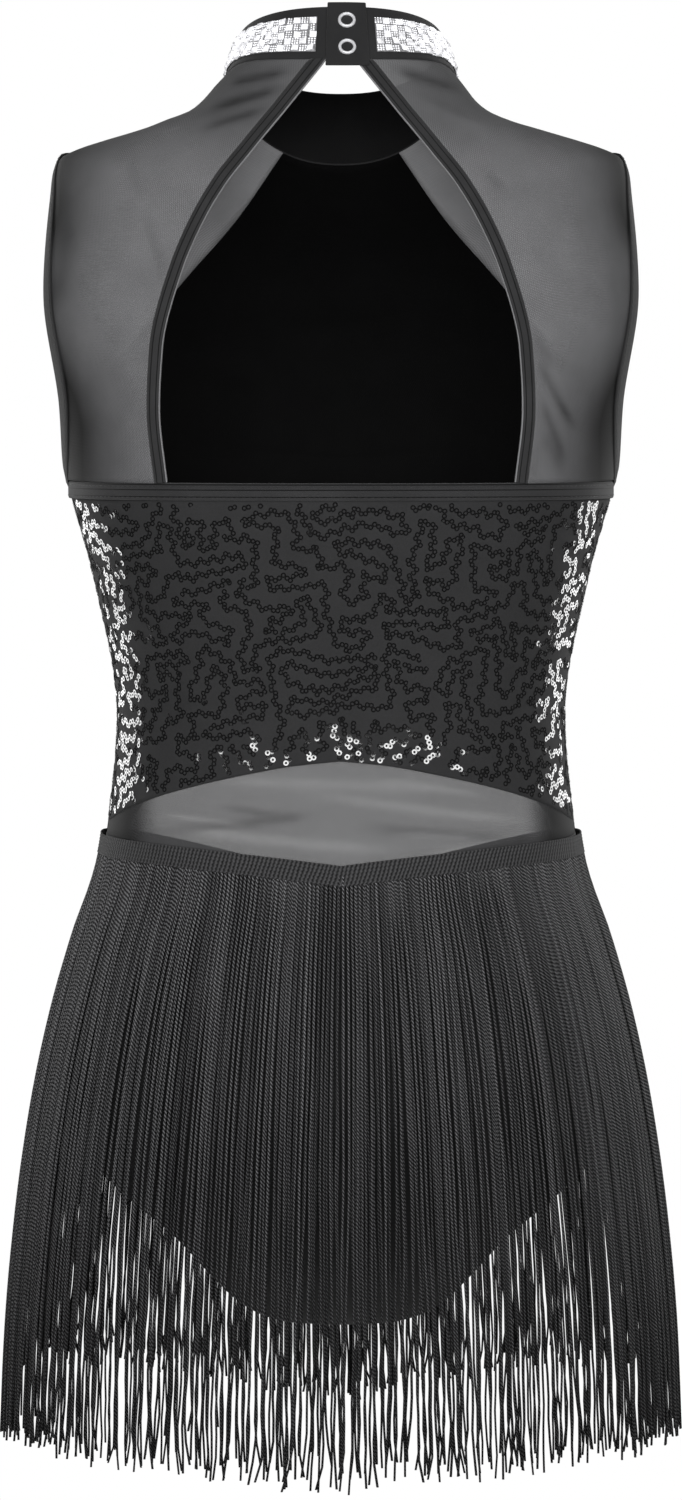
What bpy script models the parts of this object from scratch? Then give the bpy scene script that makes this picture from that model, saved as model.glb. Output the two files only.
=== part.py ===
"""A sleeveless dance leotard with a stand collar, an open back and a long fringe, filled out as when worn.

The row frame is the garment's own: +Z is up, -Y is the front, +X is the wearer's left, and the origin lies
between the shoulders at the height of the neck seam. Sizes are in millimetres here and in metres in the scene.
"""

import functools
import math
import random
from collections import namedtuple

import bmesh
import bpy
import numpy as np
from mathutils import Matrix, Vector

COLLECTION = "latin_dance_leotard"
MM = 0.001
WELD_DISTANCE = 0.00001
HALF_PI = math.pi / 2
BACK = 1
FRONT = -1

SEAM = 0.4  # space left between two pieces that are sewn edge to edge
LAP = 0.3  # space left between a piece and what it lies on
TIP_GAP = 1.2  # space left below the pointed lower end of the front shoulder mesh

MESH_WALL = 1.0  # stretch mesh of the shoulders and waist
SEQUIN_WALL = 1.8  # knit with sequins and its backing
BRIEF_WALL = 1.4
BINDING_WALL = 2.2  # folded elastic along the free edges
BAND_WALL = 2.2
COLLAR_WALL = 2.0
TRIM_WALL = 1.6
TAB_WALL = 1.4

# Points across and along each panel.
ACROSS_BACK_MESH = 7
ACROSS_FRONT_MESH = 6
ACROSS_BINDING = 3
ROWS_BELOW_ARM = 8
ROWS_SEQUIN_BACK = 9
ROWS_WAIST_MESH = 4
COLUMNS_BACK = 12
ACROSS_BRIEF = 8
ROWS_BRIEF_SIDE = 6
ROWS_LEG = 9
ROWS_GUSSET = 5
AROUND_COLLAR = 41
AROUND_TRIM = 37
ACROSS_TAB = 6
ROWS_COLLAR = 3

KEYHOLE_BINDING = 6.5  # widths across
BAND_TOP = -200.0
BAND_DEPTH = 8.5

FIGURE_POWER = 2.3  # how square a level section of the figure is: 2 is an ellipse
BISECTIONS = 26  # enough to place a point within a thousandth of a millimetre
SMALL_TURN = 0.01  # radians, for finding which way a surface runs

# The worn form, as rings from the neck seam down to the crotch. Each ring is a rounded oval whose side,
# back and front points are stated, so that the upper ones can dip at the front and the lower ones tuck under.
Ring = namedtuple("Ring", "half_width y_side y_back y_front z_side z_back z_front")
RINGS = (
    Ring(56.5, 4, 53, -50, -4, 5, -41),  # neck seam
    Ring(75.5, 3, 67, -64, -23, -19.5, -62),  # yoke
    Ring(140, 0, 84, -82, -43.5, -58, -88),  # shoulder tip
    Ring(145.5, 0, 92, -93, -65, -77, -112),
    Ring(153, 0, 97, -103, -115, -118, -142),  # middle of the armhole
    Ring(143.5, 0, 97, -107, -165, -164, -174),
    Ring(136, 0, 95, -105, -200, -200, -200),  # underarm, where the back band runs
    Ring(122.5, 0, 88, -97, -250, -250, -250),
    Ring(111.5, 0, 78, -86, -315, -315, -315),  # waist
    Ring(117, 0, 88, -89, -376, -376, -376),  # where the fringe begins at the side
    Ring(130, 0, 102.5, -92.5, -430, -430, -430),
    Ring(145, 0, 111, -91, -490, -490, -490),  # hip
    Ring(150, 0, 104, -79, -540, -541, -538),
    Ring(150, 0, 84, -56, -570, -583.5, -579),
    Ring(148, 0, 50, -30, -590, -613, -609),
    Ring(146, 0, 14, -14, -600, -624, -621.5),  # crotch
)
HIP_HEIGHT = -490.0
NECK_LEVEL = 0.0
UNDERARM_LEVEL = 6.0
CROTCH_LEVEL = len(RINGS) - 1.0

COLLAR_TOP = Ring(50, -6, 38, -56, 16.7, 31.4, -5)

# Free edge of the open back, seen from behind.
EdgePoint = namedtuple("EdgePoint", "z x")
KEYHOLE = (
    EdgePoint(4.5, 7.5),
    EdgePoint(-20, 26.8),
    EdgePoint(-40, 42.8),
    EdgePoint(-61, 58.6),
    EdgePoint(-97, 76),
    EdgePoint(-135, 86),
    EdgePoint(-165, 87.6),
    EdgePoint(-199.6, 84.2),
)
# Edge of the front bodice against the front shoulder mesh, seen from the front.
HALTER = (
    EdgePoint(-35.5, 29.5),
    EdgePoint(-66, 51.5),
    EdgePoint(-98, 80),
    EdgePoint(-130, 107),
    EdgePoint(-158, 131.5),
)
# Edge of each leg opening, from the side seam to the crotch.
LEG_BACK = (
    EdgePoint(-500, 146),
    EdgePoint(-517, 138),
    EdgePoint(-532, 123),
    EdgePoint(-550, 102),
    EdgePoint(-567, 81),
    EdgePoint(-587, 64),
    EdgePoint(-603, 50),
    EdgePoint(-612.5, 37),
    EdgePoint(-618, 25),
)
LEG_FRONT = (
    EdgePoint(-500, 146),
    EdgePoint(-518, 128),
    EdgePoint(-541, 99),
    EdgePoint(-562, 77),
    EdgePoint(-584, 57),
    EdgePoint(-602, 42),
    EdgePoint(-611, 33),
    EdgePoint(-616, 25),
)

CROTCH_DIP = 3.0  # how far the brief's lower ends dip at the middle, below the ends of the leg edges
GUSSET_SAG = 3.0

LEAST_FACING = 0.5  # keeps a binding's width from shrinking too far where the cloth turns away

# Each armhole is an oval seen from the side: its free edge, and the edge of the binding on the cloth.
Oval = namedtuple("Oval", "z_top z_bottom back_reach front_reach")
ARM_FREE = Oval(-42.0, -194.0, 38.0, 40.0)
ARM_SEWN = Oval(-39.9, -199.5, 43.5, 45.5)
ARM_NARROWING = 0.16  # how much slimmer the oval is above its middle than below it
ARM_STEPS = 14
HALTER_STEP = 10  # the armhole step at which the front bodice's edge arrives
SHOULDER_COUNT = 5  # points along the shoulder seam, neck and armhole included
HALTER_COUNT = SHOULDER_COUNT + HALTER_STEP
HALTER_END_DROP = 0.05  # how far below the armhole's edge the halter edge ends, in rings
HALTER_END_TURN = 0.045  # and how far forward of it, in radians

# Lower edge of the sequinned back over the sheer waist, as heights at shares of the half width.
SharePoint = namedtuple("SharePoint", "share z")
BACK_ARCH = (
    SharePoint(0.0, -335),
    SharePoint(0.2, -337.3),
    SharePoint(0.6, -347),
    SharePoint(0.8, -354.5),
    SharePoint(0.92, -361.5),
    SharePoint(1.0, -369.5),
)
WAIST_SEAM_SIDE = -376.0
WAIST_SEAM_BACK = -385.5
WAIST_SEAM_FRONT = -410.0
BACK_SEAM_EASE = 1.6  # above 1, the V is flatter at its sides
WINDOW_TOP = -329.0  # sheer front waist, at the middle
WINDOW_SHOULDER = -352.0  # and near its ends
WINDOW_HALF = 106.0
WINDOW_SQUARENESS = 9.0  # a high power, so that the ends drop almost straight
WINDOW_DROP = 0.9  # how far the ends drop towards the seam

FRINGE_STRANDS = 124  # on each half
FRINGE_BACK_LENGTH = 287.0
FRINGE_FRONT_LENGTH = 263.0
FRINGE_RAGGED = 5.0  # how far the ends differ
HEADER_DEPTH = 10.0
HEADER_WALL = 1.4
STRAND_HALF = 0.8
STRAND_TIP = 0.6  # share of its width left at the tip
STRAND_STEPS = (0.15, 0.48, 1.0)
STRAND_SWAY = 0.45
FRINGE_SEED = 11
FINE_STEPS = 721  # short steps for measuring along the waist seam

# How the fringe falls over the hip and then hangs free.
Fall = namedtuple("Fall", "z half_width y_back y_front")
FALL = (
    Fall(-386, 121.5, 93.0, -93.0),
    Fall(-430, 136.0, 108.0, -99.0),
    Fall(-465, 146.0, 114.5, -101.5),
    Fall(-510, 155.7, 117.5, -104.0),
    Fall(-570, 164.5, 118.5, -106.5),
    Fall(-630, 170.0, 118.5, -108.5),
    Fall(-700, 173.0, 118.0, -110.0),
)
FALL_CLEARANCE = 4.4

TAB_CENTRE = -2.7
TAB_HALF = 9.2
TAB_ABOVE = 0.05  # share of the collar's height that the tab stands above its edge
TRIM_LOW = 0.17
TRIM_HIGH = 0.81
TRIM_ENDS = (11.0, -15.5)  # where the trim stops on each side of the closure
COLLAR_BREAK = 0.8  # half of the slit between the collar's two ends, under the tab

SNAP_HEIGHTS = (0.83, 0.34)
SNAP_RING = 3.85  # middle of the ring's wire
SNAP_WIRE = 0.9
SNAP_FLATNESS = 0.6  # height of the ring's wire as a share of its width

Finish = namedtuple("Finish", "colour roughness metallic")
BLACK_MESH = Finish((0.075, 0.075, 0.078), 0.85, 0.0)
BLACK_SEQUIN = Finish((0.03, 0.03, 0.032), 0.55, 0.0)
BLACK_KNIT = Finish((0.028, 0.028, 0.03), 0.8, 0.0)
CRYSTAL = Finish((0.82, 0.82, 0.84), 0.25, 0.6)
STEEL = Finish((0.75, 0.75, 0.77), 0.25, 1.0)
RAYON = Finish((0.03, 0.03, 0.032), 0.6, 0.0)


@functools.lru_cache(maxsize=None)
def hermite_slopes(values):
    """Slopes that keep a smooth curve through the values from overshooting."""
    steps = np.diff(values)
    inner = [
        2 * a * b / (a + b) if a * b > 0 else 0.0 for a, b in zip(steps[:-1], steps[1:])
    ]
    return [float(slope) for slope in (steps[0], *inner, steps[-1])]


@functools.lru_cache(maxsize=None)
def columns_of(table):
    return tuple(tuple(float(value) for value in column) for column in zip(*table))


def smooth_value(values, place):
    """The smooth curve through evenly numbered values, read at a place between them."""
    slopes = hermite_slopes(values)
    i = min(max(int(place), 0), len(values) - 2)
    t = place - i
    return (
        values[i] * (1 + 2 * t) * (1 - t) ** 2
        + slopes[i] * t * (1 - t) ** 2
        + values[i + 1] * t * t * (3 - 2 * t)
        + slopes[i + 1] * t * t * (t - 1)
    )


def smooth_row(table, place):
    """A table's row between its rows, with every column read smoothly."""
    return type(table[0])(*(smooth_value(c, place) for c in columns_of(table)))


def smooth_by(table, key, wanted):
    """A table's row where its key column, which runs one way, has the wanted value."""
    keys = columns_of(table)[table[0]._fields.index(key)]
    falling = keys[-1] < keys[0]
    low, high = 0.0, len(table) - 1.0
    for _ in range(BISECTIONS):
        middle = (low + high) / 2
        if (smooth_value(keys, middle) > wanted) == falling:
            low = middle
        else:
            high = middle
    return smooth_row(table, low)


def signed_power(value, power):
    return math.copysign(abs(value) ** power, value)


def ring_point(ring, angle):
    """A point of an oval ring. Angle 0 is the wearer's left side and a quarter turn is the middle back."""
    c, s = math.cos(angle), math.sin(angle)
    reach = ring.y_back - ring.y_side if s > 0 else ring.y_side - ring.y_front
    lean = (ring.z_back - ring.z_front) / 2
    dip = (ring.z_back + ring.z_front) / 2 - ring.z_side
    return Vector(
        (
            ring.half_width * signed_power(c, 2 / FIGURE_POWER),
            ring.y_side + reach * signed_power(s, 2 / FIGURE_POWER),
            ring.z_side + lean * s + dip * s * s,
        )
    )


@functools.lru_cache(maxsize=None)
def body_ring(level):
    return smooth_row(RINGS, level)


def skin(level, angle):
    return ring_point(body_ring(level), angle)


def collar(height, angle):
    """The stand collar, from height 0 at the neck seam to 1 at its upper edge."""
    return ring_point(RINGS[0], angle).lerp(ring_point(COLLAR_TOP, angle), height)


def raised(surface, place, angle, lift):
    """A point of the surface moved outwards by lift."""
    here = surface(place, angle)
    if not lift:
        return here
    along = surface(place, angle + SMALL_TURN) - surface(place, angle - SMALL_TURN)
    down = surface(place + SMALL_TURN, angle) - surface(place - SMALL_TURN, angle)
    out = along.cross(down).normalized()
    if out.dot(Vector((here.x, here.y, 0))) < 0:
        out.negate()
    return here + out * lift


def angle_at_x(ring, x, face):
    share = min(abs(x) / ring.half_width, 1.0)
    return face * math.acos(share ** (FIGURE_POWER / 2))


def angle_at_y(ring, y):
    face = BACK if y > ring.y_side else FRONT
    reach = ring.y_back - ring.y_side if face == BACK else ring.y_side - ring.y_front
    share = min(abs(y - ring.y_side) / reach, 1.0)
    return face * math.asin(share ** (FIGURE_POWER / 2))


def find_level(z, angle_of):
    """Level and angle of the point of the form that lies at height z, on the line that angle_of follows."""
    low, high = NECK_LEVEL, CROTCH_LEVEL
    for _ in range(BISECTIONS):
        middle = (low + high) / 2
        ring = body_ring(middle)
        if ring_point(ring, angle_of(ring)).z > z:
            low = middle
        else:
            high = middle
    return low, angle_of(body_ring(low))


def at_face(x, z, face):
    return find_level(z, lambda ring: angle_at_x(ring, x, face))


def at_side(y, z):
    return find_level(z, lambda ring: angle_at_y(ring, y))


def level_at(z, angle=0.0):
    return find_level(z, lambda ring: angle)[0]


def arm_edge(oval, face, step):
    """Level and angle of one step along an armhole edge, from the shoulder tip down to the underarm."""
    turn = math.pi * step / ARM_STEPS
    middle, half = (oval.z_top + oval.z_bottom) / 2, (oval.z_top - oval.z_bottom) / 2
    reach = oval.back_reach if face == BACK else oval.front_reach
    slim = 1 - ARM_NARROWING * math.cos(turn)
    y = face * reach * math.sin(turn) * slim
    if step in (0, ARM_STEPS):
        return level_at(middle + half * math.cos(turn)), 0.0
    return at_side(y, middle + half * math.cos(turn))


def edge_at(table, face, z):
    """Level and angle of an edge table's curve at height z."""
    return at_face(smooth_by(table, "z", z).x, z, face)


def edge_run(table, face, count):
    """Even steps along an edge table."""
    return [
        at_face(row.x, row.z, face)
        for row in (
            smooth_row(table, (len(table) - 1) * i / (count - 1)) for i in range(count)
        )
    ]


def widened(run, face, width):
    """The run moved along the cloth by width, away from the middle of the given face."""
    moved = []
    for i, (level, angle) in enumerate(run):
        before = skin(*run[max(i - 1, 0)])
        after = skin(*run[min(i + 1, len(run) - 1)])
        way = after - before
        across = Vector((way.z, 0, -way.x)).normalized()
        if across.x < 0:
            across.negate()
        here = skin(level, angle)
        turned = skin(level, angle - face * SMALL_TURN) - here
        facing = Vector((turned.x, turned.z)).length / turned.length
        place = here + across * width * max(facing, LEAST_FACING)
        moved.append(at_face(place.x, place.z, face))
    return moved


def waist_seam(angle):
    """Height of the seam where the brief and its fringe begin: a shallow V on each face."""
    inwards = 1 - abs(math.cos(angle)) ** (2 / FIGURE_POWER)
    if math.sin(angle) > 0:
        depth, inwards = WAIST_SEAM_BACK - WAIST_SEAM_SIDE, inwards**BACK_SEAM_EASE
    else:
        depth = WAIST_SEAM_FRONT - WAIST_SEAM_SIDE
    return WAIST_SEAM_SIDE + depth * inwards


def back_arch(angle):
    return smooth_by(BACK_ARCH, "share", abs(math.cos(angle)) ** (2 / FIGURE_POWER)).z


def window_top(angle):
    """Upper edge of the sheer front waist, which drops to the waist seam at its two ends."""
    x = abs(skin(level_at(WINDOW_SHOULDER), angle).x)
    if x >= WINDOW_HALF:
        return waist_seam(angle)
    share = x / WINDOW_HALF
    arch = WINDOW_TOP + (WINDOW_SHOULDER - WINDOW_TOP) * share * share
    return arch + (waist_seam(angle) - arch) * share**WINDOW_SQUARENESS * WINDOW_DROP


def spread(start, end, count):
    return [start + (end - start) * i / (count - 1) for i in range(count)]


def sheet_between(start, end, shares, surface=skin, lift=0.0):
    """Rows of points: each row runs from start to end over the surface, at the given shares of the way."""
    rows = []
    for (place_a, angle_a), (place_b, angle_b) in zip(start, end):
        rows.append(
            [
                raised(
                    surface,
                    place_a + (place_b - place_a) * t,
                    angle_a + (angle_b - angle_a) * t,
                    lift,
                )
                for t in shares
            ]
        )
    return rows


def pulled_in(rows, sides, gap=SEAM / 2):
    """The rows with the named sides drawn in by half a seam, so that two pieces never touch."""
    moved = [[point.copy() for point in row] for row in rows]
    if "top" in sides:
        moved[0] = [a + (b - a).normalized() * gap for a, b in zip(rows[0], rows[1])]
    if "bottom" in sides:
        moved[-1] = [a + (b - a).normalized() * gap for a, b in zip(rows[-1], rows[-2])]
    for row in moved:
        first = row[0] + (row[1] - row[0]).normalized() * gap
        last = row[-1] + (row[-2] - row[-1]).normalized() * gap
        if "start" in sides:
            row[0] = first
        if "end" in sides:
            row[-1] = last
    return moved


def material_for(name, finish):
    material = bpy.data.materials.new(name)
    material.use_nodes = True
    shader = material.node_tree.nodes["Principled BSDF"]
    shader.inputs["Base Color"].default_value = (*finish.colour, 1)
    shader.inputs["Roughness"].default_value = finish.roughness
    shader.inputs["Metallic"].default_value = finish.metallic
    return material


def add_object(name, mesh, finish):
    piece = bpy.data.objects.new(name, mesh)
    mesh.materials.append(material_for(name, finish))
    mesh.shade_smooth()
    bpy.data.collections[COLLECTION].objects.link(piece)
    return piece


def cloth(name, rows, wall, finish, side=1, mirrored=False, looped=False):
    """A wall of cloth: a grid set to the rows' points and given its thickness."""
    bm = bmesh.new()
    last_row, last_column = len(rows) - 1, len(rows[0]) - 1
    bmesh.ops.create_grid(bm, x_segments=last_column, y_segments=last_row, size=0.5)
    for vert in bm.verts:
        column = round((vert.co.x + 0.5) * last_column)
        row = round((vert.co.y + 0.5) * last_row)
        point = rows[row][column] * MM
        vert.co = Vector((point.x * side, point.y, point.z))
    if looped:
        bmesh.ops.remove_doubles(bm, verts=bm.verts, dist=WELD_DISTANCE)
    bmesh.ops.recalc_face_normals(bm, faces=bm.faces)
    mesh = bpy.data.meshes.new(name)
    bm.to_mesh(mesh)
    bm.free()
    piece = add_object(name, mesh, finish)
    if mirrored:
        mirror = piece.modifiers.new("two halves", "MIRROR")
        mirror.use_clip = True
        mirror.merge_threshold = WELD_DISTANCE
    thickness = piece.modifiers.new("wall", "SOLIDIFY")
    thickness.thickness = wall * MM
    thickness.offset = 0
    return piece


def arm_run(oval, face, first=0, last=ARM_STEPS):
    return [arm_edge(oval, face, step) for step in range(first, last + 1)]


def shoulder_run(count):
    """The shoulder seam, from the neck to where the armhole binding crosses it."""
    end = arm_edge(ARM_SEWN, BACK, 0)[0]
    return [(level, 0.0) for level in spread(NECK_LEVEL, end, count)]


def build_shoulders():
    """The sheer shoulders, the bindings of the open back and of the armholes, on both sides."""
    seam = shoulder_run(SHOULDER_COUNT)
    back_outer = seam[:-1] + arm_run(ARM_SEWN, BACK)
    count = len(back_outer)
    keyhole_free = edge_run(KEYHOLE, BACK, count)
    keyhole_sewn = widened(keyhole_free, BACK, KEYHOLE_BINDING)
    for run in (keyhole_free, keyhole_sewn):
        run[0] = (NECK_LEVEL, run[0][1])
    front_outer = seam[:-1] + arm_run(ARM_SEWN, FRONT, 0, HALTER_STEP)
    halter = halter_run(HALTER_COUNT)
    loop = {}
    for oval in (ARM_FREE, ARM_SEWN):
        back_side = arm_run(oval, BACK)
        front_side = arm_run(oval, FRONT)
        loop[oval] = back_side + front_side[-2:0:-1] + back_side[:1]
    for side, hand in ((1, "left"), (-1, "right")):
        rows = sheet_between(keyhole_sewn, back_outer, spread(0, 1, ACROSS_BACK_MESH))
        rows = pulled_in(rows, ("top", "bottom", "start", "end"))
        cloth(f"back_mesh_{hand}", rows, MESH_WALL, BLACK_MESH, side)
        rows = sheet_between(keyhole_free, keyhole_sewn, spread(0, 1, ACROSS_BINDING))
        rows = pulled_in(rows, ("top", "bottom", "end"))
        cloth(f"keyhole_binding_{hand}", rows, BINDING_WALL, BLACK_KNIT, side)
        rows = sheet_between(front_outer, halter, spread(0, 1, ACROSS_FRONT_MESH))
        rows = pulled_in(rows, ("top", "start", "end"))
        rows = pulled_in(rows, ("bottom",), TIP_GAP)
        cloth(f"front_mesh_{hand}", rows, MESH_WALL, BLACK_MESH, side)
        rows = sheet_between(loop[ARM_FREE], loop[ARM_SEWN], spread(0, 1, ACROSS_BINDING))
        rows = pulled_in(rows, ("end",))
        rows[-1] = rows[0]
        name = f"armhole_binding_{hand}"
        cloth(name, rows, BINDING_WALL, BLACK_KNIT, side, looped=True)


def halter_run(count):
    """The bodice's slanting edge, ending where it meets the armhole binding."""
    run = edge_run(HALTER, FRONT, count)
    level, angle = arm_edge(ARM_SEWN, FRONT, HALTER_STEP)
    run[0] = (NECK_LEVEL, run[0][1])
    run[-1] = (level + HALTER_END_DROP, angle - HALTER_END_TURN)
    return run


def side_levels(top, bottom, count):
    return [(level, 0.0) for level in spread(level_at(top), level_at(bottom), count)]


WINDOW_START = 27  # the angle, in degrees, where the sheer front waist begins
MIDDLE_EASE = 0.8  # spaces the bodice's rows along its middle
FRONT_ANGLES = (0, 12, 24, 27, 31, 40, 54, 72, 90)


def build_front():
    """The front bodice with its slanting halter edges, and the sheer waist below it."""
    shares = [angle / 90 for angle in FRONT_ANGLES]
    outer = halter_run(HALTER_COUNT)
    outer += arm_run(ARM_SEWN, FRONT, HALTER_STEP)
    outer += side_levels(BAND_TOP, WAIST_SEAM_SIDE, ROWS_BELOW_ARM)[1:]
    middle_end = level_at(WAIST_SEAM_SIDE, -HALF_PI)
    rows = []
    for i, (level, angle) in enumerate(outer):
        down = i / (len(outer) - 1)
        middle = (middle_end * down**MIDDLE_EASE, -HALF_PI)
        rows.append([(level, angle), middle])
    grid = sheet_between([r[0] for r in rows], [r[1] for r in rows], shares)
    arch = [window_top(-math.radians(angle)) for angle in FRONT_ANGLES]
    drop_rows(grid, outer, rows, shares, arch)
    grid = pulled_in(grid, ("top", "bottom", "start"))
    cloth("front_bodice", grid, SEQUIN_WALL, BLACK_SEQUIN, mirrored=True)

    angles = [-math.radians(angle) for angle in FRONT_ANGLES if angle >= WINDOW_START]
    window = [
        [
            skin(level_at(z, angle), angle)
            for angle in angles
            for z in [window_top(angle) + (waist_seam(angle) - window_top(angle)) * t]
        ]
        for t in spread(0, 1, ROWS_WAIST_MESH)
    ]
    window = pulled_in(window, ("top", "bottom", "start"))
    cloth("front_waist_mesh", window, MESH_WALL, BLACK_MESH, mirrored=True)


def drop_rows(grid, outer, rows, shares, arch):
    """Sets the bodice's rows below the underarm so that the last one follows the waist window's edge."""
    first = next(i for i, (level, _) in enumerate(outer) if level >= UNDERARM_LEVEL)
    for column, share in enumerate(shares):
        angle = -HALF_PI * share
        start = grid[first][column].z
        for i in range(first + 1, len(grid)):
            t = (i - first) / (len(grid) - 1 - first)
            grid[i][column] = skin(level_at(start + (arch[column] - start) * t, angle), angle)


def build_back():
    """The band across the back, the sequinned back below it, and the sheer waist."""
    angles = spread(0, HALF_PI, COLUMNS_BACK)
    top, bottom = BAND_TOP, BAND_TOP - BAND_DEPTH
    heights = spread(top, bottom, ACROSS_BINDING)
    band = [[skin(level_at(z), angle) for angle in angles] for z in heights]
    band = pulled_in(band, ("top", "bottom", "start"))
    cloth("back_band", band, BAND_WALL, BLACK_KNIT, mirrored=True)

    def between(upper, lower, count):
        return [
            [
                skin(level_at(upper(a) + (lower(a) - upper(a)) * t, a), a)
                for a in angles
            ]
            for t in spread(0, 1, count)
        ]

    panel = between(lambda angle: bottom, back_arch, ROWS_SEQUIN_BACK)
    panel = pulled_in(panel, ("top", "bottom", "start"))
    cloth("back_sequin_panel", panel, SEQUIN_WALL, BLACK_SEQUIN, mirrored=True)
    waist = between(back_arch, waist_seam, ROWS_WAIST_MESH)
    waist = pulled_in(waist, ("top", "bottom", "start"))
    cloth("back_waist_mesh", waist, MESH_WALL, BLACK_MESH, mirrored=True)


def build_brief():
    """The brief's two halves, cut high at the leg, and the gusset that joins them."""
    halves = ((BACK, LEG_BACK, "brief_back"), (FRONT, LEG_FRONT, "brief_front"))
    gusset_edges = []
    for face, leg, name in halves:
        side = side_levels(WAIST_SEAM_SIDE, leg[0].z, ROWS_BRIEF_SIDE)
        leg_edge = edge_run(leg, face, ROWS_LEG)
        outer = side[:-1] + leg_edge
        end = at_face(0, leg[-1].z - CROTCH_DIP, face)[0]
        start = level_at(waist_seam(face * HALF_PI), face * HALF_PI)
        middle = [(level, face * HALF_PI) for level in spread(start, end, len(outer))]
        grid = sheet_between(outer, middle, spread(0, 1, ACROSS_BRIEF))
        seam_angles = spread(0, face * HALF_PI, ACROSS_BRIEF)
        grid[:1] = [
            [skin(level_at(waist_seam(a) - drop, a), a) for a in seam_angles]
            for drop in (0, HEADER_DEPTH + SEAM)
        ]
        gusset_edges.append([point.copy() for point in grid[-1]])
        grid = pulled_in(grid, ("top", "bottom", "start"))
        cloth(name, grid, BRIEF_WALL, BLACK_KNIT, mirrored=True)
    back_edge, front_edge = gusset_edges
    gusset = [
        [
            a.lerp(b, t) - Vector((0, 0, GUSSET_SAG * math.sin(math.pi * t)))
            for a, b in zip(back_edge, front_edge)
        ]
        for t in spread(0, 1, ROWS_GUSSET)
    ]
    gusset = pulled_in(gusset, ("top", "bottom"))
    cloth("gusset", gusset, BRIEF_WALL, BLACK_KNIT, mirrored=True)


def collar_angle(x):
    """Angle of the collar's back at a distance from the middle."""
    share = abs(x) / COLLAR_TOP.half_width
    return math.copysign(HALF_PI - math.acos(share ** (FIGURE_POWER / 2)), x)


def build_collar():
    """The stand collar, open at the back under a tab with two ring snaps, and its crystal trim."""
    slit = collar_angle(COLLAR_BREAK)
    around = spread(HALF_PI - slit, HALF_PI + slit - 2 * math.pi, AROUND_COLLAR)
    rows = [[collar(h, a) for a in around] for h in spread(0, 1, ROWS_COLLAR)]
    rows = pulled_in(rows, ("top",), SEAM + MESH_WALL / 2)
    cloth("collar_band", rows, COLLAR_WALL, BLACK_KNIT)

    lift = COLLAR_WALL / 2 + LAP + TRIM_WALL / 2
    left, right = TRIM_ENDS
    start = HALF_PI - collar_angle(left)
    end = HALF_PI - collar_angle(right) - 2 * math.pi
    rows = [
        [raised(collar, h, a, lift) for a in spread(start, end, AROUND_TRIM)]
        for h in spread(TRIM_LOW, TRIM_HIGH, ROWS_COLLAR)
    ]
    cloth("collar_trim", rows, TRIM_WALL, CRYSTAL)

    lift = COLLAR_WALL / 2 + LAP + TAB_WALL / 2
    start = HALF_PI - collar_angle(TAB_CENTRE + TAB_HALF)
    end = HALF_PI - collar_angle(TAB_CENTRE - TAB_HALF)
    rows = [
        [raised(collar, h, a, lift) for a in spread(start, end, ACROSS_TAB)]
        for h in spread(0, 1 + TAB_ABOVE, ROWS_COLLAR)
    ]
    cloth("closure_tab", rows, TAB_WALL, BLACK_KNIT)
    lift += TAB_WALL / 2 + LAP + SNAP_WIRE * SNAP_FLATNESS
    for height, name in zip(SNAP_HEIGHTS, ("snap_ring_upper", "snap_ring_lower")):
        add_snap(name, height, lift)


def add_snap(name, height, lift):
    """One ring snap, seated flat on the tab."""
    angle = HALF_PI - collar_angle(TAB_CENTRE)
    place = raised(collar, height, angle, lift)
    out = (place - collar(height, angle)).normalized()
    bpy.ops.mesh.primitive_torus_add(
        major_radius=SNAP_RING * MM,
        minor_radius=SNAP_WIRE * MM,
        major_segments=20,
        minor_segments=6,
    )
    piece = bpy.context.object
    piece.data.transform(Matrix.Diagonal((1, 1, SNAP_FLATNESS, 1)))
    piece.name = name
    piece.data.name = name
    piece.data.materials.append(material_for(name, STEEL))
    piece.data.shade_smooth()
    piece.rotation_euler = out.to_track_quat("Z", "Y").to_euler()
    piece.location = place * MM
    for holder in piece.users_collection:
        holder.objects.unlink(piece)
    bpy.data.collections[COLLECTION].objects.link(piece)


def fall_ring(z):
    """The oval that the fringe passes through at height z, outside the brief wherever that reaches."""
    row = smooth_by(FALL, "z", max(min(z, FALL[0].z), FALL[-1].z))
    hip = body_ring(level_at(max(z, HIP_HEIGHT)))
    return Ring(
        max(row.half_width, hip.half_width + FALL_CLEARANCE),
        0,
        max(row.y_back, hip.y_back + FALL_CLEARANCE),
        min(row.y_front, hip.y_front - FALL_CLEARANCE),
        z,
        z,
        z,
    )


def even_angles(face, count):
    """Angles spaced evenly along the waist seam of one face, half a step in from the side seams."""
    fine = spread(0, math.pi, FINE_STEPS)
    points = [skin(level_at(WAIST_SEAM_SIDE), a) for a in fine]
    run = np.cumsum([0.0] + [(b - a).length for a, b in zip(points[:-1], points[1:])])
    wanted = [(i + 0.5) / count * run[-1] for i in range(count)]
    return [face * float(np.interp(w, run, fine)) for w in wanted]


def across_at(surface, place, angle, face):
    """Direction along the cloth, level, in the order in which a face's strands are numbered."""
    turn = face * SMALL_TURN
    way = surface(place, angle + turn) - surface(place, angle - turn)
    return Vector((way.x, way.y, 0)).normalized()


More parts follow.
